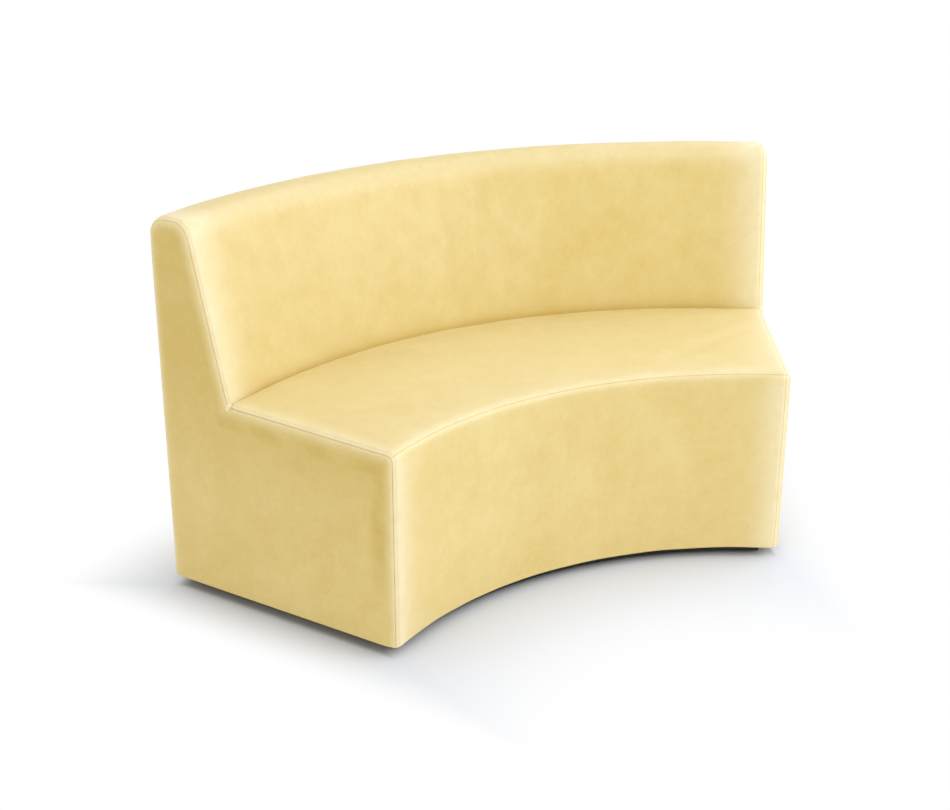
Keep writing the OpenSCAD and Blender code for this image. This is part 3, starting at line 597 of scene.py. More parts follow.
def makePanel(name, spec):
    st = panelStations(spec["halfLength"])
    grid = gridOf(st, spec["rows"](st))
    n, m = grid.shape[:2]
    t = runLength(grid[n // 2])
    s = np.concatenate([[0], np.cumsum(np.abs(np.diff(st["fromSeam"])))])
    normals = gridNormals(grid)
    crown = spec["crown"] * panelCrown(grid, s, t)
    fromEnd = np.broadcast_to(st["fromSeam"][:, None], (n, m))
    rowDist = fromEdges(t, spec["seamAtStart"], spec["seamAtEnd"])
    rowDist = np.broadcast_to(rowDist[None, :], (n, m))
    side = np.where(st["u"] < 0, 0.0, cover["rippleShift"])[:, None]
    relief = seamRelief(fromEnd, t[None, :] + side, True, spec["seed"])
    relief = relief + seamRelief(rowDist, s[:, None] + 0 * t[None, :], False, spec["seed"] + 1)
    nearest = np.minimum(fromEnd, rowDist)
    relief = relief - valleyAt(fromEnd) - valleyAt(rowDist) + valleyAt(nearest)
    waves = softWaves(s[:, None], t[None, :], spec["seed"] + 2) * smooth(nearest / cover["wavesReach"])
    outer = grid + normals * (crown + relief + seam["unevenness"] * waves)[:, :, None]
    # Thin where the leather ends free, thicker where it is folded into a seam, full over the foam
    openEdge = fromEdges(t, not spec["seamAtStart"], not spec["seamAtEnd"])
    lip = min(seam["lip"], spec["depth"])
    atOpen = between(cover["leather"], spec["depth"], smooth(openEdge[None, :] / cover["thicken"]))
    atSeam = between(lip, spec["depth"], smooth(nearest / cover["thicken"]))
    thickness = np.minimum(atOpen, atSeam)
    fromCrease = fromLine(grid, creaseR, creaseZ)
    # Wear with painted highlight and sheen; painted warm shade by the crease and in the seam grooves
    wearAndSheen, paintedShade = panelTones(spec, st, grid, fromEnd, rowDist, fromCrease)
    obj = closedForm(
        name, outer.reshape(-1, 3), grid.reshape(-1, 3), normals.reshape(-1, 3),
        gridFaces(n, m), thickness.ravel(),
        {"wearAndSheen": np.clip(wearAndSheen, 0, 1).ravel(), "paintedShade": paintedShade.ravel()},
    )
    at = int(np.argmin(np.abs(st["fromSeam"][: n // 2] - seam["topstitchAt"])))
    for i in (at, n - 1 - at):
        seen = (fromCrease[i] > cover["stitchFromCrease"]) & (outer[i, :, 2] > underZ + cover["stitchFromFoot"])
        stitchPaths.append(outer[i, seen] + cover["stitchOut"] * normals[i, seen])
    report(obj)
    return obj


# End panels: rings from the seam round the rounding, then flat, then filled in
endPanel = {
    "crown": 3 * mm,
    "depth": 7 * mm,
    "cell": 12 * mm,
    "rowShare": 0.87,  # rows of even triangles lie this share of a cell apart
    "clearShare": 0.7,
    "flatRings": np.array([2, 5, 8.5]) * mm,
    "flapBlend": 16 * mm,
    "seed": 71,
    "lastStep": 0.6 * mm,
    "liftReach": 45 * mm,
    "quickReach": 90 * mm,
    "wavesFrom": 8 * mm,
    "thicken": 30 * mm,
    # Reach of the wear and painted highlight beside an end's seam
    "wearAndSheenReach": 7 * mm,
}
# Number of rows along each stretch of an end's outline
outlineSteps = {
    "front": 33, "seatEdge": 9, "seat": 37, "slope": 27, "top": 10, "topRear": 7, "rear": 64, "foot": 50,
}
# Painted warm shade of an end: a patchy band inside its front and top edges, and the upper part all over
endShading = {
    "bandAt": 34 * mm,
    "bandWidth": 19 * mm,
    "patchScale": 1.3,
    "patches": (0.75, 0.4, 0.3),  # mean, spread, least
    "fromFoot": (0.05, 0.2),
    "fromRear": 0.16,
    "upper": 0.65,
    "upperFrom": (0.2, 0.35),
    "upperEdge": (6 * mm, 20 * mm),
}


def endOutline(inset, back, low):
    st = {"u": np.array([1.0]), "inset": inset, "back": back, "low": low, "middle": 0.0}
    foot = underZ + low
    m = max(back, bench["seatEdge"])
    rows = []
    frontTop = bench["seatFrontZ"] - m
    for v in np.linspace(0, 1, outlineSteps["front"])[:-1]:
        rows.append(frontRow(frontR + back, between(foot, frontTop, v)))
    rows += [seatEdgeRow(st, a) for a in np.linspace(0, math.pi / 2, outlineSteps["seatEdge"])]
    corner = slopeR(creaseZ - back, back)
    for v in np.linspace(0, 1, outlineSteps["seat"])[1:]:
        z = between(bench["seatFrontZ"], creaseZ, v) - back
        rows.append((frontR + m, 0.0, corner, bench["backCy"], v, z))
    for v in np.linspace(0, 1, outlineSteps["slope"])[1:-1]:
        z = between(creaseZ - back, height - bench["topFront"], v)
        rows.append(backRow(slopeR(z, back), z))
    rows += [topFrontRow(st, a) for a in np.linspace(math.pi - leanAngle, math.pi / 2, outlineSteps["top"])]
    rows += [topFlatRow(st, v) for v in (0.33, 0.67)]
    rows += [topRearRow(st, a) for a in np.linspace(math.pi / 2, 0, outlineSteps["topRear"])]
    rearTop = height - bench["topRear"]
    for v in np.linspace(0, 1, outlineSteps["rear"])[1:]:
        rows.append(rearRow(rearR - back, between(rearTop, foot, v)))
    bottomStart = len(rows)
    for v in np.linspace(0, 1, outlineSteps["foot"])[1:-1]:
        rows.append((rearR - back, bench["rearCy"], frontR + back, 0.0, v, foot))
    return np.concatenate([rowPoints(row, st) for row in rows]), bottomStart


# Rings from the seam round the rounding and a little way over the flat. Each point has its distance from
# the seam and its share in the flap: the foot turns under the base instead of meeting a seam.
def endRings():
    r, q = bench["endEdge"], bench["footEdge"]
    rounding = r * seamTurn
    sSteps = np.concatenate([seamSteps, easeSteps])
    sSteps = np.concatenate([sSteps[sSteps < rounding - endPanel["lastStep"]], [rounding]])
    rings, dist, flapShare = [], [], []
    for s in sSteps:
        a = seamTurn + s / r
        ring, bottomStart = endOutline(r - r * math.sin(a), r - r * math.cos(a), q * (1 - math.cos(a)))
        count = len(ring) - bottomStart
        v = (np.arange(count) + 1) / (count + 1)
        span = np.linalg.norm(ring[bottomStart] - ring[-1])
        w = smooth(np.minimum(v, 1 - v) * span / endPanel["flapBlend"])
        share = s / rounding
        if share < 0.5:
            inset, z = between(bench["endTurnUnder"], q, share * 2), underZ
        else:
            turn = (share - 0.5) * math.pi
            inset, z = q * (1 - math.sin(turn)), underZ + q * (1 - math.cos(turn))
        flap = ring[bottomStart:] - (inset - (r - r * math.sin(a))) * outOfEnd
        flap[:, 2] = z
        ring[bottomStart:] = between(ring[bottomStart:], flap, w[:, None])
        rings.append(ring)
        dist.append(np.full(len(ring), s))
        flapShare.append(np.concatenate([np.zeros(bottomStart), w]))
    for extra in endPanel["flatRings"]:
        rings.append(endOutline(0.0, r + extra, q + extra)[0])
        dist.append(np.full(len(ring), rounding + extra))
        flapShare.append(flapShare[-1])
    return rings, dist, flapShare


# Evenly spread points inside a closed line, at some distance from it
def pointsInside(loop):
    cell = endPanel["cell"]
    nextLoop = np.roll(loop, -1, axis=0)
    inside = []
    heights = np.arange(loop[:, 1].min() + cell, loop[:, 1].max(), cell * endPanel["rowShare"])
    for k, z in enumerate(heights):
        crossing = (loop[:, 1] > z) != (nextLoop[:, 1] > z)
        p, q = loop[crossing], nextLoop[crossing]
        cuts = np.sort(p[:, 0] + (z - p[:, 1]) / (q[:, 1] - p[:, 1]) * (q[:, 0] - p[:, 0]))
        for x in np.arange(loop[:, 0].min() + (k % 2) * cell / 2, loop[:, 0].max(), cell):
            clear = np.linalg.norm(loop - [x, z], axis=1).min() > endPanel["clearShare"] * cell
            if (cuts < x).sum() % 2 == 1 and clear:
                inside.append((x, z))
    return inside


def behindFront(points):
    x, y = points[:, 0] - endFrom[0], points[:, 1] + originY - endFrom[1]
    return x * math.sin(endAngle) + y * math.cos(endAngle)


def risingFrom(values, start, over):
    return smooth((values - start) / over)


# Painted warm shade of an end panel
def endShade(dist, z, along):
    mean, swing, least = endShading["patches"]
    scale = endShading["patchScale"]
    patches = np.clip(mean + swing * softWaves(along * scale, z * scale, endPanel["seed"] + 5), least, 1)
    band = np.exp(-(((dist - endShading["bandAt"]) / endShading["bandWidth"]) ** 2))
    band = band * risingFrom(z, *endShading["fromFoot"]) * smooth((along.max() - along) / endShading["fromRear"])
    upper = endShading["upper"] * risingFrom(z, *endShading["upperFrom"]) * risingFrom(dist, *endShading["upperEdge"])
    return np.maximum(patches * band, upper)


def makeEndPanel(name, side):
    rings, dist, flapShare = endRings()
    n, m = len(rings), len(rings[0])
    faces = [(i * m + j, i * m + (j + 1) % m, (i + 1) * m + (j + 1) % m, (i + 1) * m + j)
             for i in range(n - 1) for j in range(m)]
    # Inside the last ring the flat is filled with triangles of even size
    loop = np.stack([behindFront(rings[-1]), rings[-1][:, 2]], axis=1)
    inside = pointsInside(loop)
    points2d = [Vector(p) for p in loop] + [Vector(p) for p in inside]
    filled = delaunay_2d_cdt(points2d, [], [list(range(m))], 1, 1e-7)
    interior = np.array([
        (endFrom[0] + x * math.sin(endAngle), endFrom[1] + x * math.cos(endAngle) - originY, z)
        for x, z in inside
    ])
    verts = np.concatenate(rings + [interior])
    source = [(n - 1) * m + ids[0] for ids in filled[3]]
    fill = [tuple(source[i] for i in f) for f in filled[2]]
    edgeRing = n - 1 - len(endPanel["flatRings"])
    reach = np.array([np.linalg.norm(rings[edgeRing] - p, axis=1).min() for p in verts])
    dist = np.concatenate(dist + [dist[edgeRing][0] + reach[-len(interior):]])
    flapShare = np.concatenate(flapShare + [np.zeros(len(interior))])
    faces = facingOut(verts, faces, outOfEnd) + facingOut(verts, fill, outOfEnd)
    normals = vertexNormals(verts, faces)
    # Foam presses out the flat inside the rounding
    lift = np.zeros(len(verts))
    first = edgeRing * m
    flatFaces = [tuple(i - first for i in f) for f in faces if min(f) >= first]
    held = np.arange(len(verts) - first) < m
    lift[first:] = simulatedLift(verts[first:], flatFaces, normals[first:], held)
    lift[first:] *= smooth(reach[first:] / endPanel["liftReach"])
    alongRing = np.concatenate([np.tile(runLength(rings[0]), n), np.zeros(len(interior))])
    relief = seamRelief(dist, alongRing, False, endPanel["seed"] + side) * (1 - flapShare)
    along, z = behindFront(verts), verts[:, 2].copy()
    waves = softWaves(along, z, endPanel["seed"] + 2 * side)
    waves = waves * smooth((dist - endPanel["wavesFrom"]) / cover["wavesReach"])
    outer = verts + normals * (relief + endPanel["crown"] * lift + seam["unevenness"] * waves)[:, None]
    thickness = between(seam["lip"], endPanel["depth"], smooth(dist / endPanel["thicken"]))
    thickness = between(thickness, cover["leather"], flapShare)
    # Wear and painted highlight beside the seam, none on the flap
    wearAndSheen = np.exp(-dist / endPanel["wearAndSheenReach"]) * (1 - flapShare)
    # Painted warm shade: in the groove, a band inside the edges and the upper part
    wearAndSheen, paintedShade = atGroove(wearAndSheen, endShade(dist, z, along), dist)
    if side < 0:
        for table in (outer, verts, normals):
            table[:, 0] *= -1
        faces = [f[::-1] for f in faces]
    marks = {"wearAndSheen": wearAndSheen, "paintedShade": paintedShade * (1 - flapShare)}
    obj = closedForm(name, outer, verts, normals, [np.array(f) for f in faces], thickness, marks)
    report(obj)
    return obj


def facingOut(verts, faces, outward):
    turned = (vertexNormals(verts, faces) @ outward).sum() < 0
    return [f[::-1] for f in faces] if turned else faces


def vertexNormals(verts, faces):
    normals = np.zeros_like(verts)
    for size in (3, 4):
        same = np.array([f for f in faces if len(f) == size])
        if len(same):
            a, b, c = verts[same[:, 0]], verts[same[:, 1]], verts[same[:, 2]]
            flat = np.cross(b - a, c - a)
            if size == 4:
                flat = flat + np.cross(c - a, verts[same[:, 3]] - a)
            for k in range(size):
                np.add.at(normals, same[:, k], flat)
    return normals / np.maximum(np.linalg.norm(normals, axis=1, keepdims=True), 1e-15)


made = {name: makePanel(name, spec) for name, spec in panels.items()}
made["endPanelLeft"] = makeEndPanel("endPanelLeft", -1)
made["endPanelRight"] = makeEndPanel("endPanelRight", 1)
panels["endPanelLeft"] = {"stands": ["end_cover_left", "end_pad_left"], "fill": 0.75}
panels["endPanelRight"] = {"stands": ["end_cover_right", "end_pad_right"], "fill": 0.75}


# Gathered leather where the crease runs out between seat, back and end panel
pucker = {
    "radius": 9 * mm,
    "rise": 6 * mm,
    "sunk": 2.8 * mm,  # how deep its middle lies in the covers
    "shift": 1.5 * mm,  # away from the end plane
    "forward": 3 * mm,  # away from the back
    "pleats": 9,
    "pleatDepth": 0.5 * mm,
    "outOfRound": 0.12,
    "rings": 9,
    "around": 54,
}


def unit(v):
    return v / np.linalg.norm(v)


def makePuckers():
    back = bench["endEdge"] - bench["endEdge"] * math.sqrt(0.5)
    st = {"u": np.array([1.0]), "inset": back, "back": back, "low": 0.0, "middle": 0.0}
    place = rowPoints(backRow(slopeR(creaseZ - back, back), creaseZ - back), st)[0]
    radial = np.array([place[0], place[1] + originY - bench["backCy"], 0])
    fromBack = -unit(radial) * math.cos(leanAngle) + np.array([0, 0, math.sin(leanAngle)])
    place = place - outOfEnd * pucker["shift"] + fromBack * pucker["forward"]
    up = unit(outOfEnd + np.array([0, 0, 1]) + fromBack)
    across = unit(np.cross(up, outOfEnd))
    along = np.cross(across, up)
    verts, faces = [], []
    rings, around = pucker["rings"], pucker["around"]
    for side in (1, -1):
        start = len(verts)
        for k in range(1, rings + 1):
            tip = k / rings * math.pi / 2
            for j in range(around):
                a = 2 * math.pi * j / around
                pleat = pucker["pleatDepth"] * math.sin(tip) ** 2 * math.cos(pucker["pleats"] * a)
                reach = pucker["radius"] * math.sin(tip) * (1 + pucker["outOfRound"] * math.cos(3 * a + 1))
                high = pucker["rise"] * math.cos(tip) - pucker["sunk"] + pleat
                verts.append(place + along * reach * math.cos(a) + across * reach * math.sin(a) + up * high)
        verts.append(place + up * (pucker["rise"] - pucker["sunk"]))
        verts.append(place - up * (pucker["sunk"] + cover["leather"]))
        verts[start:] = [p * (side, 1, 1) for p in verts[start:]]
        top, foot = len(verts) - 2, len(verts) - 1
        last = (rings - 1) * around
        for j in range(around):
            a, b = start + j, start + (j + 1) % around
            faces.append((top, a, b))
            for row in range(0, last, around):
                faces.append((a + row, a + row + around, b + row + around, b + row))
            faces.append((foot, b + last, a + last))
    obj = meshFrom("creasePuckers", verts, faces)
    faceOutwards(obj)
    obj.data.shade_smooth()
    # Painted highlight on the pucker, and no painted shade
    addMark(obj, "wearAndSheen", np.full(len(verts), 0.9))
    addMark(obj, "paintedShade", np.zeros(len(verts)))
    return obj


# Colours are written as they look, and turned into the values that the shader takes
def colour(r, g, b):
    def linear(c):
        c = c / 255
        return c / 12.92 if c <= 0.04045 else ((c + 0.055) / 1.055) ** 2.4

    return (linear(r), linear(g), linear(b), 1.0)


# Each input takes a value, or is linked to the socket that feeds it
def setInputs(tree, target, inputs):
    for key, value in inputs.items():
        if isinstance(value, bpy.types.NodeSocket):
            tree.links.new(value, target.inputs[key])
        else:
            target.inputs[key].default_value = value


def node(tree, kind, settings=None, inputs=None):
    new = tree.nodes.new(kind)
    for key, value in (settings or {}).items():
        setattr(new, key, value)
    setInputs(tree, new, inputs or {})
    return new


def mathNode(tree, operation, a, b=0.5, clamp=False):
    return node(tree, "ShaderNodeMath", {"operation": operation, "use_clamp": clamp}, {0: a, 1: b}).outputs[0]


def plus(tree, a, b, clamp=False):
    return mathNode(tree, "ADD", a, b, clamp)


def minus(tree, a, b):
    return mathNode(tree, "SUBTRACT", a, b)


def times(tree, a, b, clamp=False):
    return mathNode(tree, "MULTIPLY", a, b, clamp)


def mixColour(tree, factor, a, b):
    return node(tree, "ShaderNodeMix", {"data_type": "RGBA"}, {0: factor, 6: a, 7: b}).outputs[2]


def objectPlace(tree):
    return tree.nodes.new("ShaderNodeTexCoord").outputs["Object"]


def noiseAt(tree, place, scale, detail=2.0, roughness=0.5):
    inputs = {"Vector": place, "Scale": scale, "Detail": detail, "Roughness": roughness}
    return node(tree, "ShaderNodeTexNoise", None, inputs)


def bumpOn(tree, shader, height, strength, distance):
    bump = node(tree, "ShaderNodeBump", None, {"Height": height, "Strength": strength, "Distance": distance})
    tree.links.new(bump.outputs["Normal"], shader.inputs["Normal"])


# A shader group whose inputs and outputs are all plain numbers
def newGroup(name, inputs, outputs):
    group = bpy.data.node_groups.new(name, "ShaderNodeTree")
    for label, value in inputs.items():
        socket = group.interface.new_socket(name=label, in_out="INPUT", socket_type="NodeSocketFloat")
        socket.default_value = value
    for label in outputs:
        group.interface.new_socket(name=label, in_out="OUTPUT", socket_type="NodeSocketFloat")
    return group, group.nodes.new("NodeGroupInput").outputs, group.nodes.new("NodeGroupOutput")


# Pebbled leather grain: small cells with fine creases between them, over a soft unevenness
grainLook = {
    "cellsPerMetre": 750.0,
    "unevenness": 0.5,
    "bendScale": 180.0,
    "bend": (0.0012, 0.0012, 0.0012),
    "creaseSteepness": 2.6,
    "softScale": 95.0,
}


def leatherGrainGroup():
    sizes = {"Cells Per Metre": grainLook["cellsPerMetre"], "Unevenness": grainLook["unevenness"]}
    group, source, result = newGroup("leatherGrain", sizes, ("Height", "Pores"))
    place = objectPlace(group)
    bend = noiseAt(group, place, grainLook["bendScale"]).outputs["Color"]
    moved = node(group, "ShaderNodeVectorMath", {"operation": "MULTIPLY_ADD"},
                 {0: bend, 1: grainLook["bend"], 2: place}).outputs[0]
    cells = node(group, "ShaderNodeTexVoronoi", {"feature": "DISTANCE_TO_EDGE"},
                 {"Vector": moved, "Scale": source["Cells Per Metre"]}).outputs["Distance"]
    bead = times(group, cells, grainLook["creaseSteepness"], clamp=True)
    bead = mathNode(group, "POWER", bead, 0.5)
    soft = noiseAt(group, place, grainLook["softScale"], 3.0, 0.55).outputs["Fac"]
    uneven = times(group, soft, source["Unevenness"])
    setInputs(group, result, {
        "Height": plus(group, bead, uneven),
        "Pores": minus(group, 1.0, bead),
    })
    return group


# Where a mark on the surface shows, broken up by patches: wear and painted sheen beside seams, painted warm
# shade in hollows
patchScale = 38.0


def patchyMarkGroup(name, mark):
    group, source, result = newGroup(name, {"Strength": 0.8, "Patchiness": 0.4}, ("Mask",))
    amount = node(group, "ShaderNodeAttribute", {"attribute_name": mark}).outputs["Fac"]
    amount = times(group, amount, source["Strength"])
    patch = noiseAt(group, objectPlace(group), patchScale, 3.0).outputs["Fac"]
    patchy = minus(group, patch, 0.5)
    patchy = times(group, patchy, source["Patchiness"])
    patchy = plus(group, patchy, 1.0)
    setInputs(group, result, {"Mask": times(group, amount, patchy, clamp=True)})
    return group


# Clouds in three sizes, from broad patches of the hide down to specks
cloudLook = {"sizes": ((7.0, 0.42), (24.0, 0.33), (95.0, 0.25)), "speckScale": 300.0}


def mottleGroup():
    group, source, result = newGroup("mottle", {"Contrast": 3.0}, ("Tone", "Specks"))
    place = objectPlace(group)
    total = 0.0
    for scale, share in cloudLook["sizes"]:
        centred = minus(group, noiseAt(group, place, scale).outputs["Fac"], 0.5)
        total = plus(group, times(group, centred, share), total)
    total = times(group, total, source["Contrast"])
    setInputs(group, result, {
        "Tone": plus(group, total, 0.5, clamp=True),
        "Specks": noiseAt(group, place, cloudLook["speckScale"], 2.0, 0.6).outputs["Fac"],
    })
    return group


leatherGrain = leatherGrainGroup()
# Masks of the pale wear with painted sheen and of the painted warm shade
seamWearAndSheen = patchyMarkGroup("seamWearAndSheen", "wearAndSheen")
paintedHollowShade = patchyMarkGroup("paintedHollowShade", "paintedShade")
mottle = mottleGroup()


def newMaterial(name):
    material = bpy.data.materials.new(name)
    material.use_nodes = True
    return material, material.node_tree, material.node_tree.nodes["Principled BSDF"]


leatherLook = {
    "butter": colour(223, 198, 116),
    "cloud": colour(233, 212, 143),
    # Pale colour of wear and of painted highlights and sheen
    "wearAndHighlight": colour(252, 242, 208),
    # Colour of the painted warm shade in hollows
    "paintedShadeTone": colour(211, 181, 84),
    "clouds": {"Contrast": 3.0},
    # Mixes of the painted shade, and of the wear with painted sheen
    "hollowShading": {"Strength": 0.85, "Patchiness": 0.8},
    "wearAndSheenMix": {"Strength": 0.73, "Patchiness": 0.7},
    "speck": 0.1,
    "poreShade": 0.025,
    "roughness": 0.42,
    "poreRoughness": 0.14,
    "grainStrength": 0.6,
    "grainDepth": 0.05 * mm,
    "coat": 0.55,
    "coatRoughness": 0.45,
}


def leatherMaterial():
    material, tree, shader = newMaterial("butterLeather")
    clouds = node(tree, "ShaderNodeGroup", {"node_tree": mottle}, leatherLook["clouds"])
    hollowShading = node(tree, "ShaderNodeGroup", {"node_tree": paintedHollowShade}, leatherLook["hollowShading"])
    wearAndSheenAt = node(tree, "ShaderNodeGroup", {"node_tree": seamWearAndSheen}, leatherLook["wearAndSheenMix"])
    grain = node(tree, "ShaderNodeGroup", {"node_tree": leatherGrain})
    pores = grain.outputs["Pores"]
    base = mixColour(tree, clouds.outputs["Tone"], leatherLook["butter"], leatherLook["cloud"])
    # Painted warm shade in the crease, the seam grooves and on the ends
    base = mixColour(tree, hollowShading.outputs["Mask"], base, leatherLook["paintedShadeTone"])
    # Wear with painted highlights and sheen: beside seams, over the seat, along the top and towards the left
    base = mixColour(tree, wearAndSheenAt.outputs["Mask"], base, leatherLook["wearAndHighlight"])
    dull = minus(tree, clouds.outputs["Specks"], 0.5)
    dull = times(tree, dull, leatherLook["speck"])
    dull = plus(tree, dull, times(tree, pores, leatherLook["poreShade"]))
    value = minus(tree, 1.0, dull)
    shade = node(tree, "ShaderNodeHueSaturation", None, {"Color": base, "Value": value})
    rough = times(tree, pores, leatherLook["poreRoughness"])
    setInputs(tree, shader, {
        "Base Color": shade.outputs["Color"],
        "Roughness": plus(tree, rough, leatherLook["roughness"]),
        "Coat Weight": leatherLook["coat"],
        "Coat Roughness": leatherLook["coatRoughness"],
    })
    bumpOn(tree, shader, grain.outputs["Height"], leatherLook["grainStrength"], leatherLook["grainDepth"])
    return material


leather = leatherMaterial()
for name, obj in made.items():
    obj.data.materials.append(leather)
    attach(obj, "root")
    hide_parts(*panels[name]["stands"])

puckers = makePuckers()
puckers.data.materials.append(leather)
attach(puckers, "root")
report(puckers)


# Small pieces set along a line: a rounded bead for a stitch, a flat bar for a staple's crown
def alongLineNodes(name, rounded):
    tree = bpy.data.node_groups.new(name, "GeometryNodeTree")
    face = tree.interface
    face.new_socket(name="Geometry", in_out="INPUT", socket_type="NodeSocketGeometry")
    for label in ("Pitch", "Length", "Width", "Height"):
        face.new_socket(name=label, in_out="INPUT", socket_type="NodeSocketFloat")
    face.new_socket(name="Material", in_out="INPUT", socket_type="NodeSocketMaterial")
    face.new_socket(name="Geometry", in_out="OUTPUT", socket_type="NodeSocketGeometry")
    source = tree.nodes.new("NodeGroupInput").outputs
    curve = node(tree, "GeometryNodeMeshToCurve", None, {0: source["Geometry"]})
    even = node(tree, "GeometryNodeResampleCurve", {"mode": "LENGTH"},
                {"Curve": curve.outputs[0], "Length": source["Pitch"]})
    tangent = tree.nodes.new("GeometryNodeInputTangent")
    turn = node(tree, "FunctionNodeAlignRotationToVector", {"axis": "X"}, {"Vector": tangent.outputs[0]})
    size = node(tree, "ShaderNodeCombineXYZ", None,
                {"X": source["Length"], "Y": source["Width"], "Z": source["Height"]})
    if rounded:
        bead = node(tree, "GeometryNodeMeshUVSphere", None, {"Segments": 8, "Rings": 5, "Radius": 0.5})
    else:
        bead = node(tree, "GeometryNodeMeshCube", None, {"Size": (1, 1, 1)})
    sized = node(tree, "GeometryNodeTransform", None,
                 {"Geometry": bead.outputs["Mesh"], "Scale": size.outputs[0]})
    placed = node(tree, "GeometryNodeInstanceOnPoints", None,
                  {"Points": even.outputs[0], "Instance": sized.outputs[0], "Rotation": turn.outputs[0]})
    real = node(tree, "GeometryNodeRealizeInstances", None, {0: placed.outputs[0]})
    shaded = node(tree, "GeometryNodeSetShadeSmooth", None,
                  {"Geometry": real.outputs[0], "Shade Smooth": rounded})
    finish = node(tree, "GeometryNodeSetMaterial", None,
                  {"Geometry": shaded.outputs[0], "Material": source["Material"]})
    node(tree, "NodeGroupOutput", None, {"Geometry": finish.outputs[0]})
    return tree


# Lines of joined points, with the tree's pieces set along them as one plain mesh
def setAlong(name, lines, tree, values):
    edges, start = [], 0
    for line in lines:
        edges += [(start + i, start + i + 1) for i in range(len(line) - 1)]
        start += len(line)
    obj = meshFrom(name, np.concatenate(lines), [], edges)
    nodes = obj.modifiers.new("along", "NODES")
    nodes.node_group = tree
    for item in tree.interface.items_tree:
        if item.name in values and item.in_out == "INPUT":
            nodes[item.identifier] = values[item.name]
    shaped = obj.evaluated_get(bpy.context.evaluated_depsgraph_get())
    mesh = bpy.data.meshes.new_from_object(shaped)
    obj.modifiers.clear()
    obj.data = mesh
    return obj


# Topstitching beside the end seams, in thread of the leather's colour
stitches = {"Pitch": 4.6 * mm, "Length": 3.6 * mm, "Width": 0.75 * mm, "Height": 0.75 * mm}
threadLook = {
    "thread": colour(232, 212, 150),
    "shaded": colour(206, 182, 118),
    "roughness": 0.6,
    "strands": 900.0,
    "wander": 1.5,
    "twist": 0.08 * mm,
}


def threadMaterial():
    material, tree, shader = newMaterial("stitchThread")
    strands = node(tree, "ShaderNodeTexWave", None, {
        "Vector": objectPlace(tree), "Scale": threadLook["strands"], "Distortion": threadLook["wander"],
    }).outputs["Fac"]
    setInputs(tree, shader, {
        "Base Color": mixColour(tree, strands, threadLook["shaded"], threadLook["thread"]),
        "Roughness": threadLook["roughness"],
    })
    bumpOn(tree, shader, strands, 0.5, threadLook["twist"])
    return material


topstitching = setAlong(
    "topstitching", stitchPaths, alongLineNodes("stitchNodes", True), {**stitches, "Material": threadMaterial()}
)
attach(topstitching, "root")
report(topstitching)

# Finishes of the parts under the covers and of the plinth: two tones, patch scale, roughness, relief
hiddenFinishes = {
    "plinth_black": ("plinthPaint", colour(17, 16, 15), colour(25, 24, 23), 60, 0.55, 0.1 * mm),
    "glide_plastic": ("glidePlastic", colour(38, 37, 36), colour(50, 49, 48), 300, 0.6, 0.05 * mm),
    "fixing_steel": ("fixingSteel", colour(176, 172, 160), colour(150, 146, 136), 400, 0.35, 0.02 * mm),
    "frame_ply": ("framePly", colour(214, 182, 132), colour(196, 160, 112), 25, 0.7, 0.2 * mm),
    "bent_board": ("bentBoard", colour(200, 166, 116), colour(180, 146, 100), 30, 0.7, 0.2 * mm),
    "foam": ("foam", colour(240, 232, 205), colour(230, 220, 190), 200, 0.9, 0.4 * mm),
    "wadding": ("wadding", colour(244, 241, 232), colour(235, 232, 224), 200, 0.95, 0.5 * mm),
    "dust_cloth": ("dustCloth", colour(38, 38, 41), colour(50, 50, 53), 500, 0.9, 0.1 * mm),
}
roughnessSpread = 0.2


def plainMaterial(name, base, other, scale, roughness, depth):
    material, tree, shader = newMaterial(name)
    noise = noiseAt(tree, objectPlace(tree), scale, 4.0).outputs["Fac"]
    rough = times(tree, noise, roughnessSpread)
    setInputs(tree, shader, {
        "Base Color": mixColour(tree, noise, base, other),
        "Roughness": plus(tree, rough, roughness - roughnessSpread / 2),
    })
    bumpOn(tree, shader, noise, 0.5, depth)
    return material


finishes = {slot: plainMaterial(*look) for slot, look in hiddenFinishes.items()}
finishes["cover_leather"] = leather
for subpart in frame["record"]["subparts"]:
    obj = frame["nodes"][subpart["node"]]
    obj.data.materials.clear()
    obj.data.materials.append(finishes[subpart["material_slot"]])
print("materials set")

# Staples that hold the dust cover to the base panel, round its edge
staples = {"Pitch": 55 * mm, "Length": 10 * mm, "Width": 1.2 * mm, "Height": 0.6 * mm}
dustCover = {
    "z": 25.8 * mm,
    "endLine": 34.5 * mm,
    "frontLine": 105 * mm,
    "rearLine": 95 * mm,
    "endFrom": 40 * mm,
    "endTo": 560 * mm,
    "stretches": ((-0.8, -0.6), (-0.4, -0.1), (0.1, 0.4), (0.6, 0.8)),  # between the cross members
}


def stapleLines():
    z = dustCover["z"] - staples["Height"] / 2
    lines = []
    for side in (-1, 1):
        at = np.linspace(dustCover["endFrom"], dustCover["endTo"], 40)
        x, y = endPoint(frontR + at, 0.0, dustCover["endLine"])
        lines.append(np.stack([x * side, y - originY, z + np.zeros_like(x)], axis=-1))
    for row in (frontRow(frontR + dustCover["frontLine"], z), rearRow(rearR - dustCover["rearLine"], z)):
        for first, last in dustCover["stretches"]:
            lines.append(rowPoints(row, {"u": np.linspace(first, last, 20), "inset": 0.0}))
    return lines


stapling = setAlong(
    "dustCoverStaples", stapleLines(), alongLineNodes("stapleNodes", False),
    {**staples, "Material": finishes["fixing_steel"]},
)
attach(stapling, "root")
report(stapling)

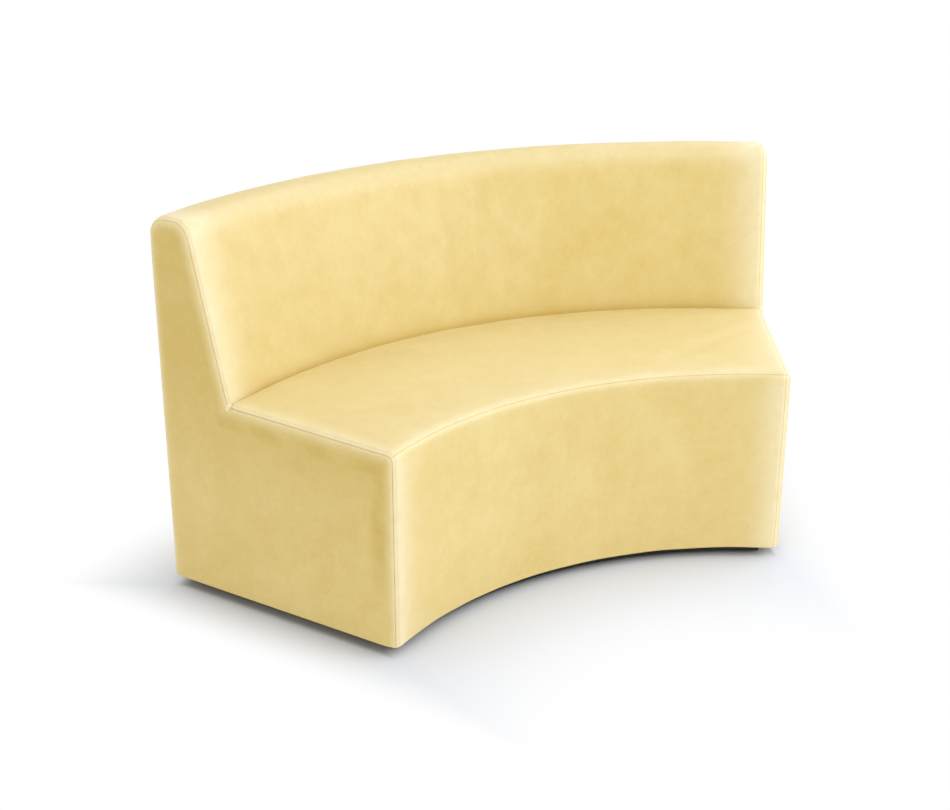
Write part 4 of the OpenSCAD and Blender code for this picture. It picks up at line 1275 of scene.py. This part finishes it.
# Studio: soft key light from the right front, weaker lamps above, beside and behind, warm surroundings
lamps = {
    "keyLight": {"power": 36, "size": 2.2, "place": (2.4, -2.4, 2.3)},
    "topLight": {"power": 1, "size": 2.5, "place": (0, -0.3, 3.3)},
    "sideLight": {"power": 18, "size": 2.2, "place": (3.4, -0.4, 1.8)},
    "rearLight": {"power": 9, "size": 2.2, "place": (2.4, 1.8, 2.8)},
}
lampAim = Vector((0, 0, 0.4))
lampColour = (0.96, 1.0, 1.06)
surroundings = {"Color": (1.0, 0.96, 0.87, 1), "Strength": 0.92}
plainWhite = {"Color": (1, 1, 1, 1), "Strength": 1.0}

for name, lamp in lamps.items():
    light = bpy.data.lights.new(name, "AREA")
    light.energy = lamp["power"]
    light.shape = "DISK"
    light.size = lamp["size"]
    light.color = lampColour
    obj = bpy.data.objects.new(name, light)
    obj.location = lamp["place"]
    obj.rotation_euler = (lampAim - Vector(lamp["place"])).to_track_quat("-Z", "Y").to_euler()
    scene.collection.objects.link(obj)


# 1 where the camera, a reflection or glass sees the surroundings, 0 where they only give light
def seenDirectly(tree):
    rays = tree.nodes.new("ShaderNodeLightPath").outputs
    direct = mathNode(tree, "MAXIMUM", rays["Is Camera Ray"], rays["Is Glossy Ray"])
    return mathNode(tree, "MAXIMUM", direct, rays["Is Transmission Ray"])


def mixShader(tree, factor, a, b):
    return node(tree, "ShaderNodeMixShader", None, {0: factor, 1: a, 2: b}).outputs[0]


world = bpy.data.worlds.new("studioWorld")
scene.world = world
world.use_nodes = True
worldTree = world.node_tree
worldShade = worldTree.nodes["Background"]
setInputs(worldTree, worldShade, surroundings)
backdrop = node(worldTree, "ShaderNodeBackground", None, plainWhite)
worldMix = mixShader(worldTree, seenDirectly(worldTree), worldShade.outputs[0], backdrop.outputs[0])
setInputs(worldTree, worldTree.nodes["World Output"], {"Surface": worldMix})

floorLook = {
    "size": 60,
    "bounce": (0.9, 0.9, 0.9, 1),  # what lights the bench from below
    # seen is darker and bluer than the bounce: painted shade deepening the bench's shadow on the floor
    "seen": (0.765, 0.82, 0.97, 1),  # what the camera sees where the bench shades the floor
    "contact": (-0.035, 0.0),  # metres outside the footprint between which the contact shade fades
    "contactShade": (0.55, 1.0),
    "whiteFrom": (-0.02, 0.26),  # metres outside the footprint between which the floor turns white
    "endSpread": 1.8,
    "frontSpread": 0.65,
}


# Distance outside the bench's footprint: before the front arc, behind the rear arc, past an end
def outsideFootprint(tree, place):
    def lengthFrom(y):
        moved = node(tree, "ShaderNodeVectorMath", {"operation": "SUBTRACT"}, {0: place, 1: (0, y, 0)})
        length = node(tree, "ShaderNodeVectorMath", {"operation": "LENGTH"}, {0: moved.outputs[0]})
        return length.outputs["Value"]

    atFront = minus(tree, frontR, lengthFrom(-originY))
    atFront = times(tree, atFront, floorLook["frontSpread"])
    atRear = minus(tree, lengthFrom(bench["rearCy"] - originY), rearR)
    offset = float(endFrom[0] * math.cos(endAngle) - (endFrom[1] - originY) * math.sin(endAngle))
    split = node(tree, "ShaderNodeSeparateXYZ", None, {0: place})
    alongX = times(tree, mathNode(tree, "ABSOLUTE", split.outputs["X"]), math.cos(endAngle))
    alongY = times(tree, split.outputs["Y"], math.sin(endAngle))
    atEnd = minus(tree, minus(tree, alongX, alongY), offset)
    atEnd = times(tree, atEnd, floorLook["endSpread"])
    return mathNode(tree, "MAXIMUM", mathNode(tree, "MAXIMUM", atFront, atRear), atEnd)


def floorMaterial():
    material = bpy.data.materials.new("studioFloor")
    material.use_nodes = True
    tree = material.node_tree
    tree.nodes.clear()
    outside = outsideFootprint(tree, objectPlace(tree))

    def fade(start, end, low, high):
        ramp = node(tree, "ShaderNodeMapRange", {"interpolation_type": "SMOOTHSTEP"}, {
            "Value": outside, "From Min": start, "From Max": end, "To Min": low, "To Max": high,
        })
        return ramp.outputs["Result"]

    # Painted contact shadow: the floor darkens just inside the footprint's edge
    contact = fade(*floorLook["contact"], *floorLook["contactShade"])
    seenColour = mixColour(tree, contact, (0, 0, 0, 1), floorLook["seen"])
    bounce = node(tree, "ShaderNodeBsdfDiffuse", None, {"Color": floorLook["bounce"]})
    seen = node(tree, "ShaderNodeBsdfDiffuse", None, {"Color": seenColour})
    white = node(tree, "ShaderNodeEmission", None, plainWhite)
    shown = mixShader(tree, fade(*floorLook["whiteFrom"], 0.0, 1.0), seen.outputs[0], white.outputs[0])
    surface = mixShader(tree, seenDirectly(tree), bounce.outputs[0], shown)
    node(tree, "ShaderNodeOutputMaterial", None, {"Surface": surface})
    return material


reach = floorLook["size"] / 2
floorCorners = [(-reach, -reach, 0), (reach, -reach, 0), (reach, reach, 0), (-reach, reach, 0)]
floor = meshFrom("floor", floorCorners, [(0, 1, 2, 3)])
floor.data.materials.append(floorMaterial())

# The photograph's own viewpoint
view = {
    "target": Vector((-89.05, 7.1, 340.04)) * mm,
    "azimuth": math.radians(-28.04),
    "elevation": math.radians(21.60),
    "distance": 3477.05 * mm,
    "lens": 59.07,
    "sensor": 36,
}
away = Vector((
    math.sin(view["azimuth"]) * math.cos(view["elevation"]),
    -math.cos(view["azimuth"]) * math.cos(view["elevation"]),
    math.sin(view["elevation"]),
))
cameraData = bpy.data.cameras.new("camera")
cameraData.lens = view["lens"]
cameraData.sensor_fit = "HORIZONTAL"
cameraData.sensor_width = view["sensor"]
camera = bpy.data.objects.new("camera", cameraData)
camera.location = view["target"] + away * view["distance"]
camera.rotation_euler = (-away).to_track_quat("-Z", "Y").to_euler()
scene.collection.objects.link(camera)
scene.camera = camera
scene.view_settings.view_transform = "Standard"
print("studio and camera set")
